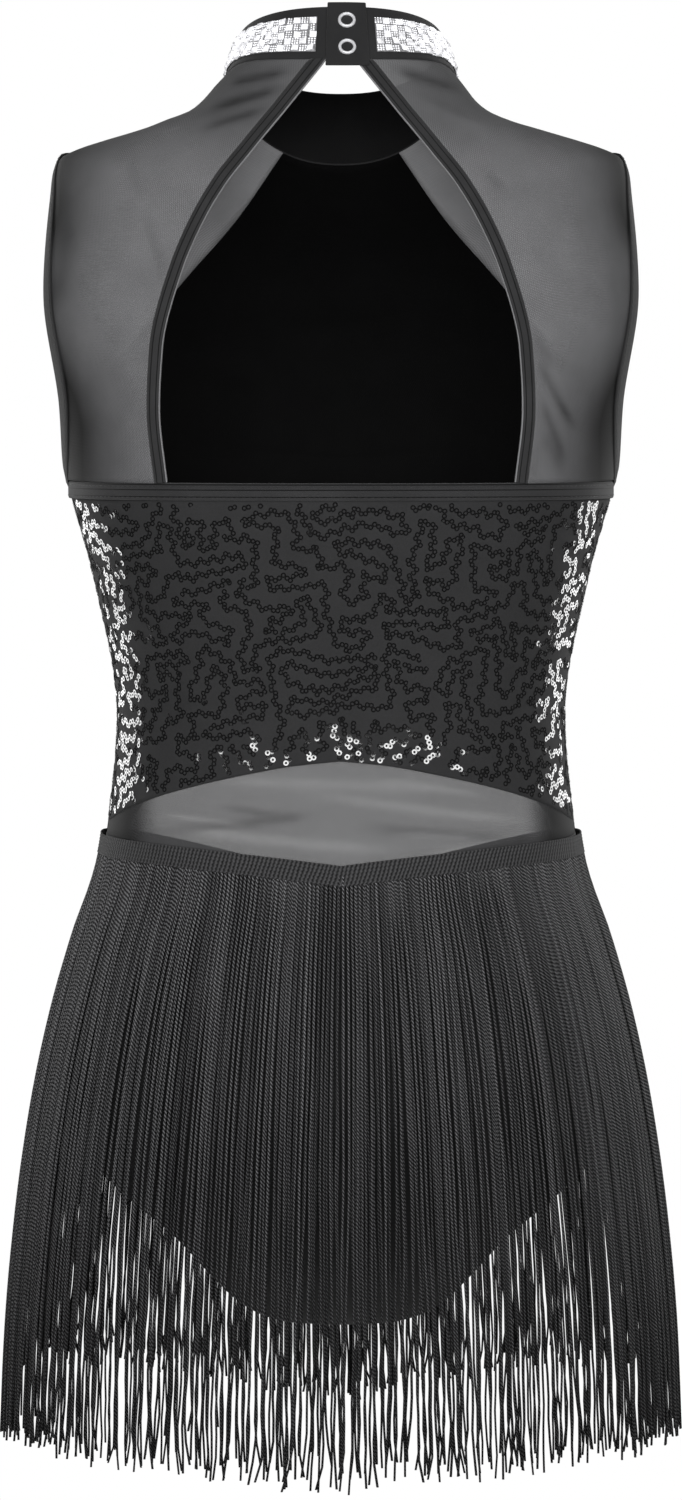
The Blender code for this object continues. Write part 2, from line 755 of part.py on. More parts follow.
def build_fringe(name, face, length, chance):
    """A header tape with its strands: each strand grows from a small root in the tape's lower edge."""
    inner = BRIEF_WALL / 2 + LAP
    outer = inner + HEADER_WALL
    bm = bmesh.new()
    columns = []
    for angle in even_angles(face, FRINGE_STRANDS):
        top = waist_seam(angle)
        low = top - HEADER_DEPTH
        high_level, low_level = level_at(top, angle), level_at(low, angle)
        across = across_at(skin, low_level, angle, face)
        root = raised(skin, low_level, angle, outer)
        ring = [
            root - across * STRAND_HALF,
            root + across * STRAND_HALF,
            raised(skin, low_level, angle, inner),
        ]
        points = [
            raised(skin, high_level, angle, outer),
            raised(skin, high_level, angle, inner),
            *ring,
        ]
        column = [bm.verts.new(point * MM) for point in points]
        columns.append(column)
        add_strand(bm, column[2:], angle, face, low, length, chance)
    for before, after in zip(columns[:-1], columns[1:]):
        bm.faces.new((before[0], after[0], after[2], before[3]))
        bm.faces.new((before[1], before[4], after[4], after[1]))
        bm.faces.new((before[0], before[1], after[1], after[0]))
        bm.faces.new((before[3], after[2], after[4], before[4]))
    for column in columns:
        bm.faces.new((column[0], column[3], column[2]))
    first, last = columns[0], columns[-1]
    bm.faces.new((first[0], first[2], first[4], first[1]))
    bm.faces.new((last[0], last[1], last[4], last[3]))
    bmesh.ops.recalc_face_normals(bm, faces=bm.faces)
    mesh = bpy.data.meshes.new(name)
    bm.to_mesh(mesh)
    bm.free()
    add_object(name, mesh, RAYON)


def add_strand(bm, root, angle, face, low, length, chance):
    """One three-sided strand, hung from its root and closed at its tip."""
    long = length + chance.uniform(-FRINGE_RAGGED, FRINGE_RAGGED)
    sway = chance.uniform(-STRAND_SWAY, STRAND_SWAY)
    ring = root
    for share in STRAND_STEPS:
        z = low - long * share
        fall = fall_ring(z)
        here = ring_point(fall, angle)
        across = across_at(lambda _, a, r=fall: ring_point(r, a), 0, angle, face)
        out = Vector((across.y, -across.x, 0))
        if out.dot(here) < 0:
            out.negate()
        here += across * sway * math.sin(math.pi * share)
        half = STRAND_HALF * (1 - (1 - STRAND_TIP) * share)
        points = (
            here - across * half,
            here + across * half,
            here - out * HEADER_WALL * (half / STRAND_HALF),
        )
        after = [bm.verts.new(point * MM) for point in points]
        for i in range(3):
            j = (i + 1) % 3
            bm.faces.new((ring[i], ring[j], after[j], after[i]))
        ring = after
    bm.faces.new(ring)


def main():
    for old in list(bpy.data.objects):
        bpy.data.objects.remove(old)
    collection = bpy.data.collections.new(COLLECTION)
    bpy.context.scene.collection.children.link(collection)
    build_collar()
    build_shoulders()
    build_front()
    build_back()
    build_brief()
    chance = random.Random(FRINGE_SEED)
    build_fringe("fringe_back", BACK, FRINGE_BACK_LENGTH, chance)
    build_fringe("fringe_front", FRONT, FRINGE_FRONT_LENGTH, chance)


main()
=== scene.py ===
import heapq
import math
import random

import bmesh
import bpy
import numpy as np
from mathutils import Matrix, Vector, kdtree


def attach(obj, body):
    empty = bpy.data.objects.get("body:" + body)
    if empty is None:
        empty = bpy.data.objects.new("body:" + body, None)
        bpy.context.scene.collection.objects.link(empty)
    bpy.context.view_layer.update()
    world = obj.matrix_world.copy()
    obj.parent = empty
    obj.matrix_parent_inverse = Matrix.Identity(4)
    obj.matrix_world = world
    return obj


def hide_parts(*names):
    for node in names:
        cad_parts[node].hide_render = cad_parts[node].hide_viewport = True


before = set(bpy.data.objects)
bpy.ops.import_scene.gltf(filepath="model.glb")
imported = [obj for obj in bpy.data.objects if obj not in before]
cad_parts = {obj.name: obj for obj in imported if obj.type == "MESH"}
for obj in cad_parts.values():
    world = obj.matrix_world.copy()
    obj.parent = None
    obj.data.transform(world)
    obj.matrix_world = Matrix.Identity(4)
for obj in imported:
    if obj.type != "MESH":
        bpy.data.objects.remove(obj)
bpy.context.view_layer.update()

mm = 0.001
halfPi = math.pi / 2
back, front = 1, -1
print("frame loaded:", len(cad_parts), "nodes")

# Camera first. The photograph looks at the back of the garment from about 2.5 m, a little from above.

view = {
    "distance": 2.5,
    "eyeHeight": -0.160,
    "aimHeight": -0.335,
    "lens": 120,
    "sensor": 36,
}


def aimed(name, data, spot, aimHeight):
    holder = bpy.data.objects.new(name, data)
    holder.location = spot
    aim = Vector((0, 0, aimHeight)) - holder.location
    holder.rotation_euler = aim.to_track_quat("-Z", "Y").to_euler()
    bpy.context.scene.collection.objects.link(holder)
    return holder


def makeCamera():
    camera = bpy.data.cameras.new("camera")
    camera.lens = view["lens"]
    camera.sensor_fit = "VERTICAL"
    camera.sensor_height = view["sensor"]
    spot = (0, view["distance"], view["eyeHeight"])
    bpy.context.scene.camera = aimed("camera", camera, spot, view["aimHeight"])


makeCamera()

# Studio: white all round, softboxes behind the garment's sides and one high in front of its back.

studio = {
    "floorHeight": -1.15,
    "floorSize": 3.4,
    "floorColour": (0.9, 0.9, 0.9, 1),
    "floorRoughness": 0.9,
    "paleWorld": 1.0,  # as the camera sees it
    "dimWorld": 0.10,  # as cloth is lit by it
    "glossWorld": 0.05,  # as shiny parts mirror it
}
# place, size, power, aim height, and whether surfaces mirror it or take its even light
softboxes = {
    "key": ((0.0, 2.15, 0.40), (2.6, 0.42), 30, -0.3, True, True),
    "fill": ((0.0, 3.0, 0.25), (1.6, 1.6), 62, -0.35, False, True),
    "sideLeft": ((1.25, -0.95, -0.15), (0.9, 1.9), 30, -0.25, True, False),
    "sideRight": ((-1.25, -0.95, -0.15), (0.9, 1.9), 30, -0.25, True, False),
    "frontFill": ((0.0, -3.0, 0.3), (1.6, 1.6), 50, -0.35, False, True),
}


def makeStudio():
    bpy.ops.mesh.primitive_plane_add(size=studio["floorSize"], location=(0, 0, studio["floorHeight"]))
    floor = bpy.context.object
    floor.name = "floor"
    floor.visible_glossy = False
    paint = bpy.data.materials.new("floorPaint")
    paint.use_nodes = True
    shader = paint.node_tree.nodes["Principled BSDF"]
    shader.inputs["Base Color"].default_value = studio["floorColour"]
    shader.inputs["Roughness"].default_value = studio["floorRoughness"]
    floor.data.materials.append(paint)
    for name, (spot, size, power, aimHeight, mirrored, even) in softboxes.items():
        light = bpy.data.lights.new(name, "AREA")
        light.shape = "RECTANGLE"
        light.size, light.size_y = size
        light.energy = power
        holder = aimed(name, light, spot, aimHeight)
        holder.visible_camera = False
        holder.visible_glossy = mirrored
        holder.visible_diffuse = even
    world = bpy.data.worlds.new("studio")
    bpy.context.scene.world = world
    world.use_nodes = True
    nodes, links = world.node_tree.nodes, world.node_tree.links
    path = nodes.new("ShaderNodeLightPath")
    strength = None
    for kind, level in (("Is Glossy Ray", studio["glossWorld"]), ("Is Camera Ray", studio["paleWorld"])):
        pick = nodes.new("ShaderNodeMix")
        pick.inputs["A"].default_value = studio["dimWorld"]
        pick.inputs["B"].default_value = level
        if strength:
            links.new(strength, pick.inputs["A"])
        links.new(path.outputs[kind], pick.inputs["Factor"])
        strength = pick.outputs["Result"]
    links.new(strength, nodes["Background"].inputs["Strength"])
    nodes["Background"].inputs["Color"].default_value = (1, 1, 1, 1)
    bpy.context.scene.view_settings.view_transform = "Standard"


makeStudio()
print("camera and studio ready")

# The worn form, in millimetres as in the part: rings from the neck seam down to the crotch.
# columns: half width, y at the side, back and front, z at the side, back and front

squareness = 2.3
bodyRings = np.array([
    (56.5, 4, 53, -50, -4, 5, -41),
    (75.5, 3, 67, -64, -23, -19.5, -62),
    (140, 0, 84, -82, -43.5, -58, -88),
    (145.5, 0, 92, -93, -65, -77, -112),
    (153, 0, 97, -103, -115, -118, -142),
    (143.5, 0, 97, -107, -165, -164, -174),
    (136, 0, 95, -105, -200, -200, -200),
    (122.5, 0, 88, -97, -250, -250, -250),
    (111.5, 0, 78, -86, -315, -315, -315),
    (117, 0, 88, -89, -376, -376, -376),
    (130, 0, 102.5, -92.5, -430, -430, -430),
    (145, 0, 111, -91, -490, -490, -490),
    (150, 0, 104, -79, -540, -541, -538),
    (150, 0, 84, -56, -570, -583.5, -579),
    (148, 0, 50, -30, -590, -613, -609),
    (146, 0, 14, -14, -600, -624, -621.5),
], float)
collarTop = np.array((50, -6, 38, -56, 16.7, 31.4, -5), float)

# Edges as height and distance from the middle.
keyholeEdge = np.array([
    (4.5, 7.5), (-20, 26.8), (-40, 42.8), (-61, 58.6), (-97, 76), (-135, 86), (-165, 87.6), (-199.6, 84.2),
], float)
halterEdge = np.array([(-35.5, 29.5), (-66, 51.5), (-98, 80), (-130, 107), (-158, 131.5)], float)
legBack = np.array([
    (-500, 146), (-517, 138), (-532, 123), (-550, 102), (-567, 81),
    (-587, 64), (-603, 50), (-612.5, 37), (-618, 25),
], float)
legFront = np.array([
    (-500, 146), (-518, 128), (-541, 99), (-562, 77), (-584, 57), (-602, 42), (-611, 33), (-616, 25),
], float)
# The seam over the sheer waist at the back: share of the way to the side, and height.
backArch = np.array([
    (0, -335), (0.2, -337.3), (0.6, -347), (0.8, -354.5), (0.92, -361.5), (1, -369.5),
], float)

# Where the garment is cut, in heights and distances from the middle.
cut = {
    "keyholeBinding": 6.5,
    "bandTop": -200.0,
    "bandDepth": 8.5,
    "seamSide": -376.0,
    "seamBack": -385.5,
    "seamFront": -410.0,
    "backSeamEase": 1.6,
    "windowTop": -329.0,
    "windowShoulder": -352.0,
    "windowHalf": 106.0,
    "windowSquareness": 9.0,
    "windowDrop": 0.9,
    # The armhole's oval, free and sewn edge: top, bottom and reach to the back and to the front.
    "armFree": (-42.0, -194.0, 38.0, 40.0),
    "armSewn": (-39.9, -199.5, 43.5, 45.5),
    "armNarrowing": 0.16,
    "armSteps": 14,
    "halterStep": 10,  # the step of the armhole where the halter's slanting edge ends
    "halterEnd": (0.05, -0.045),  # how far past that step it goes on, under the binding
}


def readSmooth(table, place):  # a smooth curve through the table's rows
    steps = np.diff(table, axis=0)
    a, b = steps[:-1], steps[1:]
    same = a * b > 0
    inner = np.where(same, 2 * a * b / np.where(same, a + b, 1), 0)
    slopes = np.concatenate([steps[:1], inner, steps[-1:]])
    place = np.asarray(place, float)
    i = np.clip(place.astype(int), 0, len(table) - 2)
    t = (place - i)[..., None]
    return (
        table[i] * (1 + 2 * t) * (1 - t) ** 2
        + slopes[i] * t * (1 - t) ** 2
        + table[i + 1] * t * t * (3 - 2 * t)
        + slopes[i + 1] * t * t * (t - 1)
    )


def readBy(table, wanted):  # the other columns where the first one, which runs one way, is as wanted
    wanted = np.asarray(wanted, float)
    falling = table[-1, 0] < table[0, 0]
    low, high = np.zeros_like(wanted), np.full_like(wanted, len(table) - 1.0)
    for _ in range(26):
        middle = (low + high) / 2
        on = (readSmooth(table, middle)[..., 0] > wanted) == falling
        low, high = np.where(on, middle, low), np.where(on, high, middle)
    return readSmooth(table, low)[..., 1:]


def ringPoint(ring, angle):  # angle 0 is the wearer's left, a quarter turn the middle back
    c, s = np.cos(angle), np.sin(angle)
    half, ySide, yBack, yFront, zSide, zBack, zFront = np.moveaxis(np.asarray(ring), -1, 0)
    reach = np.where(s > 0, yBack - ySide, ySide - yFront)
    lean = (zBack - zFront) / 2
    dip = (zBack + zFront) / 2 - zSide
    x = half * np.sign(c) * np.abs(c) ** (2 / squareness)
    y = ySide + reach * np.sign(s) * np.abs(s) ** (2 / squareness)
    return np.stack([x, y, zSide + lean * s + dip * s * s], -1)


def skin(level, angle):
    return ringPoint(readSmooth(bodyRings, level), angle)


def collar(height, angle):
    height = np.asarray(height, float)[..., None]
    return ringPoint(bodyRings[0], angle) * (1 - height) + ringPoint(collarTop, angle) * height


def outward(surface, place, angle, step=0.02):  # unit normals, away from the wearer
    along = surface(place, angle + step) - surface(place, angle - step)
    down = surface(place + step, angle) - surface(place - step, angle)
    out = np.cross(along, down)
    here = surface(place, angle)
    wrong = (out[..., 0] * here[..., 0] + out[..., 1] * here[..., 1]) < 0
    out = np.where(wrong[..., None], -out, out)
    return out / np.linalg.norm(out, axis=-1, keepdims=True)


def findLevel(z, angleOf):  # level and angle of the point at a height, on a line given by its angle
    z = np.asarray(z, float)
    low, high = np.zeros_like(z), np.full_like(z, len(bodyRings) - 1.0)
    for _ in range(26):
        middle = (low + high) / 2
        rings = readSmooth(bodyRings, middle)
        above = ringPoint(rings, angleOf(rings))[..., 2] > z
        low, high = np.where(above, middle, low), np.where(above, high, middle)
    return np.stack([low, angleOf(readSmooth(bodyRings, low)) + 0 * low], -1)


def levelAt(z, angle):
    z, angle = np.broadcast_arrays(np.asarray(z, float), angle)
    return findLevel(z, lambda rings: angle)[..., 0]


def atFace(x, z, face):
    def angleOf(rings):
        return face * np.arccos(np.minimum(np.abs(x) / rings[..., 0], 1) ** (squareness / 2))

    return findLevel(z, angleOf)


def atSide(y, z):
    def angleOf(rings):
        ySide, yBack, yFront = rings[..., 1], rings[..., 2], rings[..., 3]
        face = np.where(y > ySide, back, front)
        reach = np.where(y > ySide, yBack - ySide, ySide - yFront)
        return face * np.arcsin(np.minimum(np.abs(y - ySide) / reach, 1) ** (squareness / 2))

    return findLevel(z, angleOf)


def armEdge(oval, face, step):
    zTop, zBottom, backReach, frontReach = cut[oval]
    turn = math.pi * np.asarray(step, float) / cut["armSteps"]
    reach = backReach if face == back else frontReach
    y = face * reach * np.sin(turn) * (1 - cut["armNarrowing"] * np.cos(turn))
    z = (zTop + zBottom) / 2 + (zTop - zBottom) / 2 * np.cos(turn)
    return atSide(y, z)


def edgeRun(table, face, count):
    row = readSmooth(table, np.linspace(0, len(table) - 1, count))
    return atFace(row[:, 1], row[:, 0], face)


def onSkin(run):
    return skin(run[..., 0], run[..., 1])


def widened(run, face, width):  # the run beside it, this much further from the middle
    here = onSkin(run)
    way = np.gradient(here, axis=0)
    across = np.stack([way[:, 2], 0 * way[:, 0], -way[:, 0]], -1)
    across /= np.linalg.norm(across, axis=1, keepdims=True)
    across *= np.where(across[:, :1] < 0, -1, 1)
    turned = skin(run[:, 0], run[:, 1] - face * 0.01) - here
    facing = np.hypot(turned[:, 0], turned[:, 2]) / np.linalg.norm(turned, axis=1)
    there = here + across * (width * np.maximum(facing, 0.5))[:, None]
    return atFace(there[:, 0], there[:, 2], face)


def acrossShare(angle):
    return np.abs(np.cos(angle)) ** (2 / squareness)


def waistSeam(angle):
    inwards = 1 - acrossShare(angle)
    onBack = np.sin(angle) > 0
    depth = np.where(onBack, cut["seamBack"], cut["seamFront"]) - cut["seamSide"]
    return cut["seamSide"] + depth * inwards ** np.where(onBack, cut["backSeamEase"], 1.0)


def archHeight(angle):
    return readBy(backArch, acrossShare(angle))[..., 0]


def windowHeight(angle):
    x = np.abs(skin(levelAt(cut["windowShoulder"], angle), angle)[..., 0])
    share = np.minimum(x / cut["windowHalf"], 1)
    arch = cut["windowTop"] + (cut["windowShoulder"] - cut["windowTop"]) * share**2
    drop = share ** cut["windowSquareness"] * cut["windowDrop"]
    inside = arch + (waistSeam(angle) - arch) * drop
    return np.where(x >= cut["windowHalf"], waistSeam(angle), inside)


# Mesh helpers. Points are in millimetres, and cloth carries its cut's own lengths as UVs, in metres.


def makeMesh(name, points, faces, uvs=None, material=None, smooth=True):
    mesh = bpy.data.meshes.new(name)
    mesh.from_pydata((np.asarray(points, float) * mm).tolist(), [], np.asarray(faces).tolist())
    if uvs is not None:
        layer = mesh.uv_layers.new(name="cut")
        corners = np.empty(len(mesh.loops), int)
        mesh.loops.foreach_get("vertex_index", corners)
        layer.data.foreach_set("uv", (np.asarray(uvs, float)[corners] * mm).ravel())
    if smooth:
        mesh.shade_smooth()
    piece = bpy.data.objects.new(name, mesh)
    bpy.context.scene.collection.objects.link(piece)
    if material:
        mesh.materials.append(material)
    return piece


def gridFaces(rows, columns, closedRows=False, closedColumns=False):
    r = np.arange(rows if closedRows else rows - 1)
    c = np.arange(columns if closedColumns else columns - 1)
    r, c = np.meshgrid(r, c, indexing="ij")
    nextR, nextC = (r + 1) % rows, (c + 1) % columns
    here, ahead = r * columns, nextR * columns
    return np.stack([here + c, here + nextC, ahead + nextC, ahead + c], -1).reshape(-1, 4)


def runLengths(points, axis):  # the length so far at each point along one axis of a grid
    step = np.linalg.norm(np.diff(points, axis=axis), axis=-1)
    start = np.zeros_like(np.take(step, [0], axis=axis))
    return np.concatenate([start, np.cumsum(step, axis=axis)], axis=axis)


def turnedOut(faces, points):  # the faces wound so that they look away from the wearer
    a, b, c = (points[faces[:, k]] for k in range(3))
    normal = np.cross(b - a, c - a)
    centre = (a + c) / 2
    outwards = (normal[:, :2] * centre[:, :2]).sum() > 0
    return faces if outwards else faces[:, ::-1]


def clothPiece(name, points, wall, outside, inside=None):  # a shell with its wall half on each side
    rows, columns = points.shape[:2]
    uvs = np.stack([runLengths(points, 1), runLengths(points, 0)], -1).reshape(-1, 2)
    flat = points.reshape(-1, 3)
    faces = turnedOut(gridFaces(rows, columns), flat)
    piece = makeMesh(name, flat, faces, uvs, outside)
    if inside:
        piece.data.materials.append(inside)
    shell = piece.modifiers.new("wall", "SOLIDIFY")
    shell.thickness = wall * mm
    shell.offset = 0
    if inside:
        shell.material_offset = 1
    return piece


# Much of this number is painted shade: in creases, along seams, under the arms, at the waist window's
# corners and on fringe strands that hang behind.
def shaded(piece, values):  # a number at each point, which the finish reads as how dark, and on the mesh how opaque, it is
    layer = piece.data.attributes.new("toneAndShade", "FLOAT", "POINT")
    layer.data.foreach_set("value", np.asarray(values, float).ravel())


def rise(start, end, value):  # eased from 0 at start to 1 at end
    share = np.clip((value - start) / (end - start), 0, 1)
    return share * share * (3 - 2 * share)


def mirroredX(points):
    return points * np.array((-1, 1, 1))


def bothSides(points):  # a half panel and its mirror image, as one grid
    return np.concatenate([points, mirroredX(points[:, ::-1][:, 1:])], axis=1)


def sheetBetween(start, end, count):  # levels, angles and points of the panel between two runs
    shares = np.linspace(0, 1, count)[None, :, None]
    run = start[:, None] + (end - start)[:, None] * shares
    return run[..., 0], run[..., 1], onSkin(run)


stripSquareness = 4.0


def sweep(name, centres, across, out, halfWidth, halfThick, material, sides=14, closed=False):
    # A folded strip. It is open along its sewn side, where the panel lies between its two faces.
    turn = np.linspace(0.2, 2 * math.pi - 0.2, sides)
    wide = np.sign(np.cos(turn)) * np.abs(np.cos(turn)) ** (2 / stripSquareness)
    tall = np.sign(np.sin(turn)) * np.abs(np.sin(turn)) ** (2 / stripSquareness)
    halfWidth = np.broadcast_to(halfWidth, len(centres))
    ring = (
        centres[:, None]
        + across[:, None] * (wide[None, :] * halfWidth[:, None])[..., None]
        + out[:, None] * (tall * halfThick)[None, :, None]
    )
    rows = len(centres)
    along = runLengths(centres[:, None], 0)
    around = (wide[None, :] + 1) * halfWidth[:, None]
    uvs = np.stack([np.broadcast_to(along, (rows, sides)), around], -1).reshape(-1, 2)
    piece = makeMesh(name, ring.reshape(-1, 3), gridFaces(rows, sides, closed), uvs, material)
    fixNormals(piece)
    return piece


def fixNormals(piece):
    bm = bmesh.new()
    bm.from_mesh(piece.data)
    bmesh.ops.recalc_face_normals(bm, faces=bm.faces)
    bm.to_mesh(piece.data)
    bm.free()


def smoothNoise(count, reach, dice):  # one value for each of a row, changing slowly along it
    knots = dice.normal(0, 1, int(count / reach) + 3)
    return np.interp(np.arange(count) / reach, np.arange(len(knots)), knots)


def dress(piece, slot, *nodes):
    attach(piece, "root")
    if nodes:
        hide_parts(*nodes)


def joinCopies(points, faces, spots, frames):  # copies of one small shape, as one set of points and faces
    count = len(spots)
    moved = spots[:, None] + np.einsum("kj,njm->nkm", points, frames)
    shifted = faces[None] + (np.arange(count) * len(points))[:, None, None]
    return moved.reshape(-1, 3), shifted.reshape(-1, faces.shape[1])


# Shader maths: a wire is one socket, and plain operators on it add Math nodes.


def plug(tree, socket, value):
    if isinstance(value, Wire):
        tree.links.new(value.out, socket)
    else:
        socket.default_value = value


class Wire:
    def __init__(self, tree, out):
        self.tree, self.out = tree, out

    def calc(self, operation, *others, first=None):
        node = self.tree.nodes.new("ShaderNodeMath")
        node.operation = operation
        values = (self if first is None else first, *others)
        for socket, value in zip(node.inputs, values):
            plug(self.tree, socket, value)
        return Wire(self.tree, node.outputs[0])

    def __add__(self, other):
        return self.calc("ADD", other)

    __radd__ = __add__

    def __mul__(self, other):
        return self.calc("MULTIPLY", other)

    __rmul__ = __mul__

    def __sub__(self, other):
        return self.calc("SUBTRACT", other)

    def __rsub__(self, other):
        return self.calc("SUBTRACT", self, first=other)

    def __truediv__(self, other):
        return self.calc("DIVIDE", other)

    def __lt__(self, other):
        return self.calc("LESS_THAN", other)

    def sine(self):
        return self.calc("SINE")

    def size(self):
        return self.calc("ABSOLUTE")

    def capped(self, low, high):
        return self.calc("MAXIMUM", low).calc("MINIMUM", high)


class Finish:
    def __init__(self, name):
        self.material = bpy.data.materials.new(name)
        self.material.use_nodes = True
        self.tree = self.material.node_tree
        self.shader = self.tree.nodes["Principled BSDF"]

    def add(self, kind, settings=None, sockets=None, out=0):
        node = self.tree.nodes.new("ShaderNode" + kind)
        for key, value in (settings or {}).items():
            setattr(node, key, value)
        for key, value in (sockets or {}).items():
            plug(self.tree, node.inputs[key], value)
        return Wire(self.tree, node.outputs[out])

    def set(self, **sockets):  # roughness=0.4 or coatWeight=wire, on the shader itself
        for key, value in sockets.items():
            words = "".join(" " + c if c.isupper() else c for c in key).title()
            words = words.replace("Ior", "IOR")
            plug(self.tree, self.shader.inputs[words], value)
        return self.material

    def mix(self, share, first, second):  # colours
        node = self.tree.nodes.new("ShaderNodeMix")
        node.data_type = "RGBA"
        for i, value in ((0, share), (6, first), (7, second)):
            plug(self.tree, node.inputs[i], value)
        return Wire(self.tree, node.outputs[2])

    def cutPlace(self):  # along and across the cloth, in metres
        uv = self.add("UVMap", {"uv_map": "cut"})
        parts = self.tree.nodes.new("ShaderNodeSeparateXYZ")
        self.tree.links.new(uv.out, parts.inputs[0])
        return Wire(self.tree, parts.outputs[0]), Wire(self.tree, parts.outputs[1])

    def carried(self, name):  # a number that the mesh carries at its points
        return self.add("Attribute", {"attribute_name": name}, out=2)

    def noise(self, scale, detail=2.0, rough=0.5):
        spot = self.add("TexCoord", out=3)
        sockets = {"Vector": spot, "Scale": scale, "Detail": detail, "Roughness": rough}
        return self.add("TexNoise", sockets=sockets)

    def bump(self, height, strength, distance):
        return self.add("Bump", sockets={"Strength": strength, "Distance": distance, "Height": height})


def grey(level):
    return (level, level, level * 1.03, 1)


# Sheer stretch mesh. Light passes between its threads, so its alpha follows a fine net.

sheer = {
    "thread": 1.15,  # pitch of the net in millimetres, seen a little coarser than real
    "shoulder": {"colour": 0.165, "alpha": 0.60},
    # The chest piece is the same mesh given a much lighter colour: painted light for the light that shows
    # through it.
    "chest": {"colour": 0.27, "alpha": 0.92},
    "waist": {"colour": 0.105, "alpha": 0.37},
    "toneAndShadeDarkening": 0.62,  # how much darker the net is where it is denser and where shade is painted on it
    "toneAndShadeAlpha": 0.40,
    "netShade": 0.36,
    "netAlpha": 0.12,
    "cloudShade": 0.45,
    "wall": 0.5,
}


def sheerFinish(name, colour, alpha):
    finish = Finish(name)
    u, v = finish.cutPlace()
    toneAndShade = finish.carried("toneAndShade")
    turn = 2 * math.pi / (sheer["thread"] * mm)
    ribs = ((u + v * 0.55) * turn).sine()
    rows = ((v * 0.8 - u * 0.45) * turn).sine()
    net = ribs * rows * 0.6 + ribs * 0.4
    cloud = finish.noise(38, 3, 0.6)
    patch = (finish.noise(24, 1, 0.5) * 2.4 - 0.7).capped(0.15, 1)  # the net shows more in some places
    evenly = (cloud - 0.5) * sheer["cloudShade"] + net * patch * sheer["netShade"] + 1
    # Where the carried number is high the net is painted darker and more opaque: partly its own density,
    # mostly painted shade.
    shade = evenly * (1 - toneAndShade * sheer["toneAndShadeDarkening"])
    tone = finish.mix(shade * 0.5, (0, 0, 0, 1), grey(colour * 2))
    return finish.set(
        baseColor=tone,
        roughness=0.82,
        alpha=(net * patch * sheer["netAlpha"] + alpha + toneAndShade * sheer["toneAndShadeAlpha"]).capped(0, 1),
        sheenWeight=0.05,
        specularIorLevel=0.1,
        normal=finish.bump(net, 0.25, 0.0001),
    )


shoulderMesh = sheerFinish("shoulderMesh", **sheer["shoulder"])
chestMesh = sheerFinish("chestMesh", **sheer["chest"])
waistMesh = sheerFinish("waistMesh", **sheer["waist"])


# Knits: pitch of the loops and depth of the bump in millimetres. Lines are dents that seams press into a
# strip, this far from its free edge, and an edge is a painted highlight, a light line along the fold there.

knits = {
    "bindingKnit": {"colour": 0.013, "pitch": 1.1, "depth": 0.25, "lines": (1.8, 5.2, 8.6)},
    "keyholeKnit": {
        "colour": 0.027, "pitch": 1.1, "depth": 0.25, "lines": (1.7, 5.0),
        "edge": {"width": 0.24, "colour": 0.22},
    },
    "bandKnit": {"colour": 0.026, "pitch": 1.2, "depth": 0.25, "lines": (0.7, 3.2, 6.6)},
    "collarKnit": {"colour": 0.020, "pitch": 0.9, "depth": 0.2},
    # The collar's inside is painted far darker than its outside: painted shade inside the collar.
    "collarInside": {"colour": 0.007, "pitch": 0.9, "depth": 0.15, "sheen": 0.05},
    "briefKnit": {"colour": 0.012, "pitch": 0.8, "depth": 0.15},
    "sequinGround": {"colour": 0.025, "pitch": 0.9, "depth": 0.2, "sheen": 0.0, "grain": 0.5},
    # The inner faces of the bodice, back panel and brief are painted far darker than their outsides: painted
    # shade inside the garment.
    "innerKnit": {"colour": 0.002, "pitch": 0.9, "depth": 0.15, "sheen": 0.0},
    "threadFinish": {"colour": 0.02, "pitch": 0.6, "depth": 0.1, "roughness": 0.6},
}
lineDent = {"half": 0.27, "shade": 0.2}


def knitFinish(name, colour, pitch, depth, roughness=0.85, sheen=0.1, grain=0.0, edge=None, lines=()):
    finish = Finish(name)
    u, v = finish.cutPlace()
    wales = (u * (2 * math.pi / (pitch * mm))).sine()
    courses = (v * (2 * math.pi / (pitch * 0.8 * mm))).sine()
    cloud = finish.noise(55, 4, 0.6)
    if grain:
        cloud = cloud * (1 - grain) + finish.noise(1100, 1, 0.5) * grain
    tone = finish.mix(cloud, grey(colour * 0.72), grey(colour * 1.35))
    for line in lines:
        dented = (v - line * mm).size() < lineDent["half"] * mm
        tone = finish.mix(dented, tone, grey(colour * lineDent["shade"]))
    if edge:
        # A painted highlight along the folded free edge.
        tone = finish.mix(v < edge["width"] * mm, tone, grey(edge["colour"]))
    return finish.set(
        baseColor=tone,
        roughness=roughness,
        sheenWeight=sheen,
        specularIorLevel=0.15,
        normal=finish.bump(wales * courses * 0.5 + cloud, 0.5, depth * mm),
    )


knit = {name: knitFinish(name, **look) for name, look in knits.items()}
print("cloth finishes ready")

# Folds are soft troughs and ridges, listed one by one: start and end as (x, z), half width and height, in
# mm.

fine = 4  # how much finer than the solids the cloth is divided
foldFade = 0.25  # share of a fold over which either end flattens out
foldStart = 0.15  # share of its height that it has where it leaves a seam


def foldLift(points, folds):
    lift = np.zeros(points.shape[:-1])
    xz = points[..., (0, 2)]
    for x0, z0, x1, z1, width, height in folds:
        start, way = np.array((x0, z0)), np.array((x1 - x0, z1 - z0))
        along = ((xz - start) @ way) / (way @ way)
        near = np.clip(along, 0, 1)
        apart = np.linalg.norm(xz - start - near[..., None] * way, axis=-1)
        first, last = np.clip(near / foldFade, foldStart, 1), np.clip((1 - near) / foldFade, 0, 1)
        lift += height * np.where(near < 0.5, first, last) * np.exp(-((apart / width) ** 2))
    return lift


def lifted(levels, angles, points, lift):
    return points + outward(skin, levels, angles) * lift[..., None]


